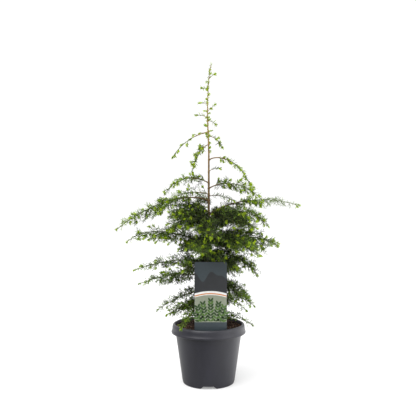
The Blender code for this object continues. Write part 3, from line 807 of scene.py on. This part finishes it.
def old_needles(shoot, draw, first, tone, clinging):
    """(base, direction, face normal, length, tint number) of the two ranks of a shoot, and some on top."""
    count = max(2, int((shoot.length - first) / NEEDLE_STEP))
    places = first + (shoot.length - first) * (np.arange(count) + draw.uniform(0.2, 0.8, count)) / count
    share = places / shoot.length
    sign = np.where(np.arange(count) % 2, 1.0, -1.0)
    ahead, side, up = (shoot.at(places, v) for v in (shoot.ahead, shoot.side, shoot.up))
    lean = NEEDLE_LEAN - NEEDLE_LEAN_TIP * share**4 + draw.normal(0.0, 7.0, count)
    on_top = draw.random(count) < TOP_NEEDLE_SHARE[shoot.level]
    lift = np.radians(np.where(on_top, draw.normal(75.0, 18.0, count), draw.normal(3.0, NEEDLE_LIFT[shoot.level], count)))
    lean = np.radians(np.where(on_top, 0.7 * lean, lean) * (CLINGING_LEAN / NEEDLE_LEAN if clinging else 1.0))
    out = np.cos(lift)[:, None] * sign[:, None] * side + np.sin(lift)[:, None] * up
    way = unit(np.cos(lean)[:, None] * ahead + np.sin(lean)[:, None] * out)
    normal = spun(way, unit(up - (up * way).sum(1)[:, None] * way + 1e-6), draw.normal(0.0, NEEDLE_SPIN, count))
    length = NEEDLE_LENGTH * np.minimum(1.0, 0.66 + 2.6 * share) * (1 - 0.35 * share**6)
    length = np.where(on_top, TOP_NEEDLE_LENGTH, length) * draw.uniform(0.80, 1.12, count)
    length = np.minimum(length, CLINGING_LENGTH) if clinging else length
    width = NEEDLE_WIDTH * np.clip(length / NEEDLE_LENGTH, 0.72, 1.1)
    apart = draw.choice((-1, 0, 1), count, p=(NEIGHBOUR_TINT / 2, 1 - NEIGHBOUR_TINT, NEIGHBOUR_TINT / 2))
    tint = np.where(tone < FRESH, np.clip(tone + apart, SHADE, MID), tone)
    return shoot.at(places, shoot.path), way, normal, length, width, tint


def young_tuft(shoot, draw, tones=(FRESH, TIP)):
    """The short bright needles round a shoot's tip."""
    count = TUFT_NEEDLES
    places = shoot.length - TUFT_LENGTH * draw.random(count) ** 1.3
    turn = draw.uniform(0, math.tau, count)
    ahead, side, up = (shoot.at(places, v) for v in (shoot.ahead, shoot.side, shoot.up))
    out = np.cos(turn)[:, None] * side + np.sin(turn)[:, None] * up
    lean = np.radians(draw.uniform(8, 62, count))
    way = unit(np.cos(lean)[:, None] * ahead + np.sin(lean)[:, None] * out)
    normal = spun(way, unit(up - (up * way).sum(1)[:, None] * way + 1e-6), draw.normal(0.0, 50.0, count))
    length = TUFT_NEEDLE * draw.uniform(0.75, 1.15, count)
    tint = np.where(draw.random(count) < 0.3, *tones)
    return shoot.at(places, shoot.path), way, normal, length, np.full(count, TUFT_WIDTH), tint


def stem_tufts(stem, places, draw):
    """Tufts that sit straight on a stem, each on a bud of its own."""
    tufts = []
    for place in places:
        root = Vector(stem.at([place + draw.uniform(-0.004, 0.004)], stem.path)[0])
        turn = draw.uniform(0, math.tau)
        out = Vector((math.cos(turn), math.sin(turn), draw.uniform(-0.2, 1.2))).normalized()
        out *= BUD * draw.uniform(0.6, 1.7)
        bud = Shoot([root, root + 0.5 * out, root + out], None, 0.0, 2)
        tufts.append(young_tuft(bud, draw))
    return tufts


def needle_mesh(name, base, way, normal, length, width, material):
    """Folded blades with a blunt tip: six corners and two faces each, grooved along the middle."""
    across = np.cross(way, normal)
    half = across * (width / 2)[:, None]
    groove = normal * (width * NEEDLE_FOLD)[:, None]
    droop = normal * (length * 0.05)[:, None]
    along = way * length[:, None]
    corners = (
        base,
        base + 0.24 * along + half + groove,
        base + 0.84 * along + 0.8 * half + groove - 0.6 * droop,
        base + along - droop,
        base + 0.84 * along - 0.8 * half + groove - 0.6 * droop,
        base + 0.24 * along - half + groove,
    )
    points = np.stack(corners, axis=1).reshape(-1, 3)
    start = 6 * np.arange(len(base))[:, None]
    faces = np.concatenate([start + np.array((0, 1, 2, 3)), start + np.array((0, 3, 4, 5))])
    return mesh_object(name, points, faces, material, smooth=False)


# Wood


def tube_rings(path, radii, sides, relief=None, level=False):
    """(points, faces) of a limb along a path, closed at its tip and capped at its foot."""
    shoot = Shoot(path, None, 0.0, 0)
    if level:
        shoot.side[:] = (1.0, 0.0, 0.0)
        shoot.up[:] = (0.0, 1.0, 0.0)
    turn = np.arange(sides) * math.tau / sides
    rings = []
    for index, centre in enumerate(shoot.path):
        radius = radii[index]
        swell = relief(centre, turn) if relief else 1.0
        arm = np.cos(turn)[:, None] * shoot.side[index] + np.sin(turn)[:, None] * shoot.up[index]
        rings.append(centre + arm * (radius * swell)[:, None] if relief else centre + arm * radius)
    points = np.concatenate(rings)
    faces = []
    for index in range(len(shoot.path) - 1):
        for a in range(sides):
            b = (a + 1) % sides
            low = index * sides
            faces.append((low + a, low + b, low + sides + b, low + sides + a))
    faces.append(tuple(reversed(range(sides))))
    last = (len(shoot.path) - 1) * sides
    faces.append(tuple(range(last, last + sides)))
    return points, faces


def joined(parts):
    """Several (points, faces) as one."""
    points, faces, start = [], [], 0
    for some, more in parts:
        points.append(some)
        faces += [tuple(start + i for i in face) for face in more]
        start += len(some)
    return np.concatenate(points), faces


def trunk_piece(bark):
    """The whole trunk, with thin scaly bark and a swelling where each limb leaves it."""
    heights = np.concatenate(
        [np.linspace(TRUNK_FOOT, TRUNK_FOOT + 0.03, 24)[:-1], np.arange(TRUNK_FOOT + 0.03, TRUNK_TOP, 0.002)]
    )
    heights = np.append(heights, TRUNK_TOP)
    roots = [row[0] for row in (*BOUGHS.values(), *SPROUTS.values())]

    def relief(centre, turn):
        height = centre[2]
        knot = sum(0.22 * math.exp(-(((height - root) / 0.0022) ** 2)) for root in roots if height > 0.15)
        rough = [
            noise.noise((2.2 * math.cos(a), 2.2 * math.sin(a), height / 0.006))
            + 0.6 * noise.noise((5 * math.cos(a), 5 * math.sin(a), height / 0.0025))
            for a in turn
        ]
        return 1.0 + min(0.3, knot) + 0.10 * np.array(rough)

    path = [trunk_at(h) for h in heights]
    radii = [trunk_radius(h) for h in heights]
    points, faces = tube_rings(path, radii, 18, relief, level=True)
    points[:, 2] = np.maximum(points[:, 2], TRUNK_FOOT)
    return mesh_object("trunk_bark", points, faces, bark)


def limb_pieces(lines, bark, young_bark):
    """Every limb from the trunk to its tip, with a collar at its root. The outer half has young bark."""
    parts, tips = [], []
    for line in lines.values():
        length = line_length(line)
        start = max(0.0, seat_distance(line) - 0.0022)
        path = stretch(line, start, length, 0.003)
        shares = np.linspace(start / length, 1.0, len(path))
        thick = LIMB_RADIUS * min(1.0, 0.25 + 3.6 * length)
        radii = LIMB_TIP + (thick - LIMB_TIP) * (1 - shares) ** 0.9
        away = np.linspace(0.0, length - start, len(path))
        radii = radii * (1 + 0.45 * np.exp(-away / 0.003))

        def relief(centre, turn):
            rough = [noise.noise((centre[0] / 0.004 + 3 * math.cos(a), 3 * math.sin(a), centre[2] / 0.004)) for a in turn]
            return 1.0 + 0.14 * np.array(rough)

        middle = round(OLD_WOOD * len(path))
        parts.append(tube_rings(path[: middle + 1], radii[: middle + 1], 7, relief))
        tips.append(tube_rings(path[middle:], radii[middle:], 7, relief))
    return [
        mesh_object("bough_bark", *joined(parts), bark),
        mesh_object("young_bough_bark", *joined(tips), young_bark),
    ]


def twig_piece(shoots, bark):
    parts = []
    for shoot in shoots:
        radii = np.linspace(*shoot.radii, len(shoot.path))
        parts.append(tube_rings(shoot.path, radii, 3))
    return mesh_object("fine_twigs", *joined(parts), bark)


def grow_crown():
    """All sprays: stems, twigs, twiglets and the needles on them."""
    limbs = {**BOUGHS, **SPROUTS}
    lines = {name: limb_line(i, *row[:6]) for i, (name, row) in enumerate(limbs.items())}
    space = Space(lines)
    shoots, rows = [], []
    for name, row in limbs.items():
        line = lines[name]
        seed = random.Random("needles of " + name)
        draw = np.random.default_rng(seed.getrandbits(32))
        start = max(seat_distance(line), row[6] * line_length(line))
        stem = Shoot(stretch(line, start, line_length(line), FINE_STEP), None, 0.0, 0)
        grown = []
        if name in BOUGHS:
            coarse = stretch(line, start + (GAP if row[6] else 0.0), line_length(line), SEGMENT)
            for twig in side_twigs(coarse, name, row[7], space):
                grown.append(twig)
                if twig.length > 0.022:
                    grown += twiglets(twig, name, space, seed)
        shoots += grown
        leafy = [stem] + grown
        own = []
        slender = name in SPROUTS or row[7] <= SLENDER
        for shoot in leafy:
            for _ in range(2 if name in COMBED else 1):
                tone = OLD if name in COMBED else shoot_tint(shoot, name, draw)
                own.append(old_needles(shoot, draw, 0.003, tone, name in CLINGING))
            if name == PALE_BOUGH and PALE_FROM < shoot.path[-1][0] < PALE_TO:
                continue
            chance = TUFT_CHANCE[0] + TUFT_CHANCE[1] * min(1.0, outward(shoot))
            height = shoot.path[-1][2]
            chance *= float(np.interp(height, SHADED_FOOT, (FOOT_CHANCE, 1.0)))
            if draw.random() < chance or shoot.level == 0 or slender:
                own.append(young_tuft(shoot, draw, (MID, FRESH) if height < SHADED_FOOT[0] else (FRESH, TIP)))
        if name in BOUGHS and slender and name not in CLINGING:
            own += stem_tufts(stem, np.arange(TUFT_STEP, stem.length, TUFT_STEP), draw)
        base, way, normal, length, width, tint = (np.concatenate(part) for part in zip(*own))
        tips = base + way * length[:, None]
        keep = space.clear(tips, name) & space.clear(base + 0.6 * (tips - base), name)
        rows.append(tuple(part[keep] for part in (base, way, normal, length, width, tint)))
    leader = Shoot([trunk_at(h) for h in np.arange(LEADER_FOOT, TRUNK_TOP + 0.0005, 0.004)], None, 0.0, 0)
    rows.append(leader_needles(leader))
    return lines, shoots, [np.concatenate(part) for part in zip(*rows)]


def leader_needles(leader):
    """Short young needles all round the leader, close together near its tip."""
    draw = np.random.default_rng(random.Random("needles of the leader").getrandbits(32))
    count = 150
    places = leader.length * draw.random(count) ** 0.7
    turn = draw.uniform(0, math.tau, count)
    ahead, side, up = (leader.at(places, v) for v in (leader.ahead, leader.side, leader.up))
    out = np.cos(turn)[:, None] * side + np.sin(turn)[:, None] * up
    lean = np.radians(draw.uniform(25, 55, count))
    way = unit(np.cos(lean)[:, None] * ahead + np.sin(lean)[:, None] * out)
    normal = unit(ahead - (ahead * way).sum(1)[:, None] * way)
    length = draw.uniform(0.005, 0.009, count)
    tint = draw.choice((MID, FRESH, TIP), count, p=(0.3, 0.4, 0.3))
    width = np.full(count, 0.8 * NEEDLE_WIDTH)
    rows = [(leader.at(places, leader.path), way, normal, length, width, tint)]
    rows += stem_tufts(leader, np.array(LEADER_TUFTS) - LEADER_FOOT, draw)
    return [np.concatenate(part) for part in zip(*rows)]


# The pot and what stands in it


def wall_radius(height):
    return FOOT_RADIUS + (LIP_RADIUS - FOOT_RADIUS) * height / POT_HEIGHT


def turned_object(name, profile, steps, material):
    mesh = bpy.data.meshes.new(name)
    mesh.from_pydata([(r, 0.0, z) for r, z in profile], [(i, i + 1) for i in range(len(profile) - 1)], [])
    mesh.materials.append(material)
    obj = bpy.data.objects.new(name, mesh)
    bpy.context.scene.collection.objects.link(obj)
    screw = obj.modifiers.new("turn", "SCREW")
    screw.axis = "Z"
    screw.steps = steps
    screw.render_steps = steps
    screw.use_merge_vertices = True
    screw.merge_threshold = 0.00001
    return obj


def pot_profile():
    floor_top = FLOOR_RAISE + POT_WALL
    inner_lip = LIP_RADIUS - POT_WALL
    foot_inside = FOOT_RADIUS - FOOT_WIDTH
    lip = [
        (inner_lip + LIP_EDGE * (1 - math.cos(a)), POT_HEIGHT - LIP_EDGE * (1 - math.sin(a)))
        for a in np.linspace(0, math.pi / 2, 5)
    ]
    foot = [
        (FOOT_RADIUS - FOOT_EDGE * (1 - math.cos(a)), FOOT_EDGE * (1 - math.sin(a)))
        for a in np.linspace(0, math.pi / 2, 5)
    ]
    return [
        (0.0, floor_top),
        (wall_radius(floor_top) - POT_WALL, floor_top),
        *lip,
        *[(LIP_RADIUS + out, POT_HEIGHT - drop) for out, drop in RIM_OUTLINE],
        (wall_radius(POT_HEIGHT - RIM_ROOT), POT_HEIGHT - RIM_ROOT),
        (wall_radius(2 * FOOT_EDGE), 2 * FOOT_EDGE),
        *foot,
        (foot_inside, 0.0),
        (foot_inside - FOOT_DRAFT, FLOOR_RAISE),
        (0.0, FLOOR_RAISE),
    ]


def pot_piece():
    pot = turned_object("moulded_pot", pot_profile(), POT_STEPS, moulded_polypropylene())
    cutters = []
    slope = (NOTCH_WIDE - NOTCH_NARROW) / NOTCH_HEIGHT
    for index in range(NOTCH_COUNT):
        shape = bmesh.new()
        bmesh.ops.create_cube(shape, size=1.0)
        for vertex in shape.verts:
            top = vertex.co.z > 0
            vertex.co.x = FOOT_RADIUS + NOTCH_REACH * vertex.co.x
            vertex.co.y *= NOTCH_NARROW if top else NOTCH_WIDE + slope * NOTCH_BELOW
            vertex.co.z = NOTCH_HEIGHT if top else -NOTCH_BELOW
        shape.transform(Matrix.Rotation(math.tau * index / NOTCH_COUNT, 4, "Z"))
        cutters.append(shape)
    for index in range(DRAIN_COUNT):
        angle = math.tau * (index + 0.5) / DRAIN_COUNT
        centre = (DRAIN_CIRCLE * math.cos(angle), DRAIN_CIRCLE * math.sin(angle), FLOOR_RAISE + POT_WALL / 2)
        shape = bmesh.new()
        bmesh.ops.create_cone(
            shape, cap_ends=True, segments=20, radius1=DRAIN_RADIUS, radius2=DRAIN_RADIUS, depth=4 * POT_WALL
        )
        shape.transform(Matrix.Translation(centre))
        cutters.append(shape)
    made = []
    for shape in cutters:
        mesh = bpy.data.meshes.new("cutter")
        shape.to_mesh(mesh)
        shape.free()
        cutter = bpy.data.objects.new("cutter", mesh)
        bpy.context.scene.collection.objects.link(cutter)
        modifier = pot.modifiers.new("cut", "BOOLEAN")
        modifier.object = cutter
        modifier.solver = "EXACT"
        made.append(cutter)
    applied(pot)
    for cutter in made:
        bpy.data.objects.remove(cutter, do_unlink=True)
    pot.data.shade_smooth()
    pot.data.set_sharp_from_angle(angle=math.radians(35))
    return pot


def soil_height(radius):
    """The mound's height without its crumbs."""
    edge = wall_radius(SOIL_EDGE) - POT_WALL
    return float(
        np.interp(radius, (0.0, SOIL_FLAT, SOIL_MOUND[0], edge), (SOIL_TOP, SOIL_TOP, SOIL_MOUND[1], SOIL_EDGE))
    )


def soil_relief(x, y):
    lumps = noise.noise((x / 0.009, y / 0.009, 0.0)) * 0.0011
    crumbs = noise.noise((x / 0.003, y / 0.003, 3.0)) * 0.0007
    return lumps + crumbs + noise.noise((x / 0.0014, y / 0.0014, 7.0)) * 0.0004 - 0.0006


def soil_piece(peat):
    """The mound of peat: crumbly on top, and hidden below by the pot."""
    edge = wall_radius(SOIL_EDGE) - POT_WALL - 1.5 * GAP
    points = [(0.0, 0.0, SOIL_TOP)]
    for ring in range(1, SOIL_RINGS + 1):
        radius = edge * ring / SOIL_RINGS
        for step in range(SOIL_STEPS):
            angle = math.tau * step / SOIL_STEPS
            x, y = radius * math.cos(angle), radius * math.sin(angle)
            points.append((x, y, soil_height(radius) + soil_relief(x, y)))
    low = FLOOR_RAISE + POT_WALL + GAP
    foot = wall_radius(low) - POT_WALL - 1.5 * GAP
    for step in range(SOIL_STEPS):
        angle = math.tau * step / SOIL_STEPS
        points.append((foot * math.cos(angle), foot * math.sin(angle), low))
    faces = [(0, 1 + step, 1 + (step + 1) % SOIL_STEPS) for step in range(SOIL_STEPS)]
    for ring in range(SOIL_RINGS):
        start = 1 + ring * SOIL_STEPS
        for step in range(SOIL_STEPS):
            after = (step + 1) % SOIL_STEPS
            faces.append((start + step, start + SOIL_STEPS + step, start + SOIL_STEPS + after, start + after))
    last = 1 + SOIL_RINGS * SOIL_STEPS
    faces.append(tuple(reversed(range(last, last + SOIL_STEPS))))
    return mesh_object("peat_mound", points, faces, peat)


def crumb_piece(peat):
    """Loose crumbs and shreds of bark on the peat."""
    draw = random.Random("crumbs")
    parts = []
    while len(parts) < CRUMBS:
        radius = 0.083 * math.sqrt(draw.random())
        angle = draw.uniform(0, math.tau)
        x, y = radius * math.cos(angle), radius * math.sin(angle)
        size = draw.uniform(0.0006, 0.0019)
        if radius < trunk_radius(SOIL_TOP) + 0.002:
            continue
        shape = bmesh.new()
        bmesh.ops.create_icosphere(shape, subdivisions=1, radius=size)
        turn = Matrix.Rotation(draw.uniform(0, math.tau), 4, Vector((draw.random(), draw.random(), draw.random() + 0.1)))
        long = draw.uniform(1.0, 2.4)
        for vertex in shape.verts:
            vertex.co *= draw.uniform(0.7, 1.2)
            vertex.co.x *= long
        shape.transform(turn)
        shape.transform(Matrix.Translation((x, y, soil_height(radius) + soil_relief(x, y) + 0.3 * size)))
        shape.verts.ensure_lookup_table()
        points = np.array([tuple(v.co) for v in shape.verts])
        points[:, 2] = np.minimum(points[:, 2], POT_HEIGHT - 0.002)
        faces = [tuple(v.index for v in f.verts) for f in shape.faces]
        shape.free()
        parts.append((points, faces))
    return mesh_object("peat_crumbs", *joined(parts), peat, smooth=False)


def label_corner(half, top, margin):
    """The card's rounded upper right corner, as (offset from the middle, height)."""
    return [
        (half - margin - LABEL_CORNER * (1 - math.cos(a)), top - margin - LABEL_CORNER * (1 - math.sin(a)))
        for a in np.linspace(0, math.pi / 2, 7)
    ]


def label_piece(x, y, half, top):
    foot = LABEL_FOOT_WIDTH / 2
    outline = [
        (LABEL_POINT_WIDTH / 2, LABEL_POINT),
        (foot, LABEL_POINT + LABEL_BARB),
        (foot, LABEL_SHOULDER - LABEL_SLOPE),
        (half, LABEL_SHOULDER),
        *label_corner(half, top, 0.0),
    ]
    outline = outline + [(-px, pz) for px, pz in reversed(outline)]
    count = len(outline)
    points = [(x + px, y - LABEL_THICK / 2, pz) for px, pz in outline]
    points += [(x + px, y + LABEL_THICK / 2, pz) for px, pz in outline]
    faces = [tuple(range(count)), tuple(reversed(range(count, 2 * count)))]
    faces += [(i, i + count, (i + 1) % count + count, (i + 1) % count) for i in range(count)]
    card = mesh_object("label_card", points, faces, printed_card(), smooth=False)
    bevel = card.modifiers.new("edges", "BEVEL")
    bevel.width = 0.00015
    bevel.segments = 2
    bevel.limit_method = "ANGLE"
    return applied(card)


def leaf_shape(foot, turn):
    """A pointed oval leaf from its foot, turned from upright to the right."""
    length, width = SPRIG_LEAF
    shape = []
    for a in np.linspace(0, math.tau, 14, endpoint=False):
        along = length * (1 - math.cos(a)) / 2
        across = width / 2 * math.sin(a) * abs(math.sin(a)) ** 0.3
        shape.append(
            (
                foot[0] + along * math.sin(turn) + across * math.cos(turn),
                foot[1] + along * math.cos(turn) - across * math.sin(turn),
            )
        )
    return shape


def label_prints(half, top):
    """The printed shapes by ink and layer: rolling hills, an arched band, and a fan of leafy sprigs."""
    height, swell, waves, start, swell_2, waves_2, start_2 = HILLS
    steps = np.linspace(-1, 1, round(2 * half / PRINT_STEP))
    inside = half - PRINT_MARGIN
    corner = label_corner(half, top, PRINT_MARGIN)
    ridge = [
        (inside * u, height + swell * math.sin(waves * u + start) + swell_2 * math.sin(waves_2 * u + start_2))
        for u in steps
    ]
    hills = ridge + corner + [(-px, pz) for px, pz in reversed(corner)]
    arches = []
    for low, high, drop in (BAND, STRIPE):
        foot = [(inside * u, low - drop * u * u) for u in steps]
        head = [(inside * u, high - drop * u * u) for u in reversed(steps)]
        arches.append(foot + head)
    field = [(-inside, FIELD_FOOT), (inside, FIELD_FOOT)]
    field += [(inside * u, BAND[0] - BAND[2] * u * u) for u in reversed(steps)]
    base = [(-inside, LABEL_SHOULDER), (inside, LABEL_SHOULDER), (inside, FIELD_FOOT), (-inside, FIELD_FOOT)]
    leaves = {"leaf": [], "spring": []}
    for number, (place, foot, length, lean) in enumerate(SPRIGS):
        lean = math.radians(lean)
        for index in range(round(length / SPRIG_STEP)):
            along = index * SPRIG_STEP
            root = (place + along * math.sin(lean), foot + along * math.cos(lean))
            ink = "spring" if (index + number) % 3 == 0 else "leaf"
            for side in (-1, 1):
                leaves[ink].append(leaf_shape(root, lean + side * math.radians(52 - 3 * index)))
    return [
        ("slate", 1, [hills, base]),
        ("cream", 1, [field]),
        ("white", 2, [arches[0]]),
        ("amber", 3, [arches[1]]),
        ("leaf", 2, leaves["leaf"]),
        ("spring", 3, leaves["spring"]),
    ]


def label_pieces():
    low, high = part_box("plant_label")
    x, y = (low.x + high.x) / 2, (low.y + high.y) / 2
    half = (high.x - low.x) / 2
    pieces = [label_piece(x, y, half, high.z)]
    for ink, layer, shapes in label_prints(half, high.z):
        front = y - LABEL_THICK / 2 - layer * PRINT_LAYER
        parts = [(np.array([(x + px, front, pz) for px, pz in shape]), [tuple(range(len(shape)))]) for shape in shapes]
        pieces.append(mesh_object("label_print_" + ink, *joined(parts), printed_ink(ink, INKS[ink]), smooth=False))
    return pieces


# The studio


def studio():
    scene = bpy.context.scene
    scene.view_settings.view_transform = "Standard"
    data = bpy.data.cameras.new("camera")
    data.lens = CAMERA_LENS
    data.sensor_width = CAMERA_SENSOR
    camera = bpy.data.objects.new("camera", data)
    camera.location = CAMERA_PLACE
    camera.rotation_euler = (math.radians(90), 0.0, 0.0)
    scene.collection.objects.link(camera)
    scene.camera = camera

    world = bpy.data.worlds.new("studio")
    world.use_nodes = True
    tree = world.node_tree
    way = add_node(tree, "ShaderNodeTexCoord").outputs["Generated"]
    height = add_node(tree, "ShaderNodeSeparateXYZ", {"Vector": way}).outputs["Z"]
    dome = add_node(
        tree,
        "ShaderNodeMapRange",
        {"Value": height, "From Min": 0.0, "From Max": 0.9, "To Min": DOME_EDGE, "To Max": DOME_TOP},
    ).outputs["Result"]
    front = add_node(tree, "ShaderNodeSeparateXYZ", {"Vector": way}).outputs["Y"]
    shade = add_node(
        tree,
        "ShaderNodeMapRange",
        {"Value": front, "From Min": -0.9, "From Max": 0.0, "To Min": DOME_FRONT, "To Max": 1.0},
    ).outputs["Result"]
    dome = add_node(tree, "ShaderNodeMath", {0: dome, 1: shade}, operation="MULTIPLY").outputs["Value"]
    for axis, nearer, level in (("Y", 0.2, BACKDROP), ("X", 0.45, RIGHT_WALL)):
        side = add_node(tree, "ShaderNodeSeparateXYZ", {"Vector": way}).outputs[axis]
        wall = add_node(
            tree,
            "ShaderNodeMapRange",
            {"Value": side, "From Min": nearer, "From Max": 0.8, "To Min": 0.0, "To Max": level},
        ).outputs["Result"]
        dome = add_node(tree, "ShaderNodeMath", {0: dome, 1: wall}, operation="MAXIMUM").outputs["Value"]
    seen = add_node(tree, "ShaderNodeLightPath").outputs["Is Camera Ray"]
    light = add_node(tree, "ShaderNodeMix", {"Factor": seen, 2: dome, 3: 1.05})
    background = tree.nodes["Background"]
    background.inputs["Color"].default_value = (1.0, 1.0, 1.0, 1.0)
    tree.links.new(light.outputs[0], background.inputs["Strength"])
    scene.world = world

    for name, (power, spread, tilt, turn) in LAMPS.items():
        sun = bpy.data.lights.new(name, "SUN")
        sun.energy = power
        sun.angle = math.radians(spread)
        lamp = bpy.data.objects.new(name, sun)
        lamp.rotation_euler = (math.radians(tilt), 0.0, math.radians(turn))
        scene.collection.objects.link(lamp)

    # A light table: white acrylic, lit faintly from below, so that only the deepest of the shadow shows.
    material, tree, shader = new_material("lit_acrylic", 0.9, 1.4, 0.1)
    acrylic = mottle(tree, object_place(tree), 0.4, ((0.3, "BCBCBC"), (0.7, "C0C0C0")))
    seen = add_node(tree, "ShaderNodeLightPath").outputs["Is Camera Ray"]
    place = add_node(tree, "ShaderNodeSeparateXYZ", {"Vector": object_place(tree)}).outputs
    levels = []
    for axis, (start, end, low, high) in FLOOR_BOUNCE.items():
        ends = {"From Min": start, "From Max": end, "To Min": low, "To Max": high}
        level = add_node(tree, "ShaderNodeMapRange", {"Value": place[axis], **ends})
        levels.append(level.outputs["Result"])
    bounce = add_node(tree, "ShaderNodeMath", {0: levels[0], 1: levels[1]}, operation="ADD").outputs["Value"]
    colour = add_node(tree, "ShaderNodeMix", {"Factor": seen, 6: bounce, 7: acrylic}, data_type="RGBA")
    tree.links.new(colour.outputs[2], shader.inputs["Base Color"])
    glow = add_node(tree, "ShaderNodeMath", {0: seen, 1: TABLE_GLOW}, operation="MULTIPLY")
    shader.inputs["Emission Color"].default_value = (1.0, 1.0, 1.0, 1.0)
    tree.links.new(glow.outputs["Value"], shader.inputs["Emission Strength"])
    size = 8.0
    points = [(-size, -size, 0.0), (size, -size, 0.0), (size, size, 0.0), (-size, size, 0.0)]
    mesh_object("floor", points, [(0, 1, 2, 3)], material)


def main():
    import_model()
    studio()
    place_piece(pot_piece(), "pot_plastic", "pot")
    peat = moist_peat()
    place_piece(soil_piece(peat), "potting_soil", "potting_soil")
    place_piece(crumb_piece(peat), "potting_soil", "potting_soil")
    for piece in label_pieces():
        place_piece(piece, "label_card", "plant_label")

    lines, shoots, needles = grow_crown()
    tint = needles.pop()
    masses = ["foliage_" + name for name in BOUGHS] + list(SPROUTS)
    limbs = ["bough_" + name for name, row in BOUGHS.items() if row[6]]
    bark = hemlock_bark()
    place_piece(trunk_piece(bark), "bark", "trunk")
    young_bark = twig_bark()
    for piece in limb_pieces(lines, bark, young_bark):
        place_piece(piece, "bark", *limbs)
    place_piece(twig_piece(shoots, young_bark), "bark", *masses)
    for number, (name, tones) in enumerate(TINTS.items()):
        chosen = tint == number
        if not chosen.any():
            continue
        material = waxed_needles("waxed_needles_" + name, *tones)
        piece = needle_mesh("needles_" + name, *(part[chosen] for part in needles), material)
        place_piece(piece, "young_needles" if name in ("tip", "fresh") else "needles", *masses)


main()
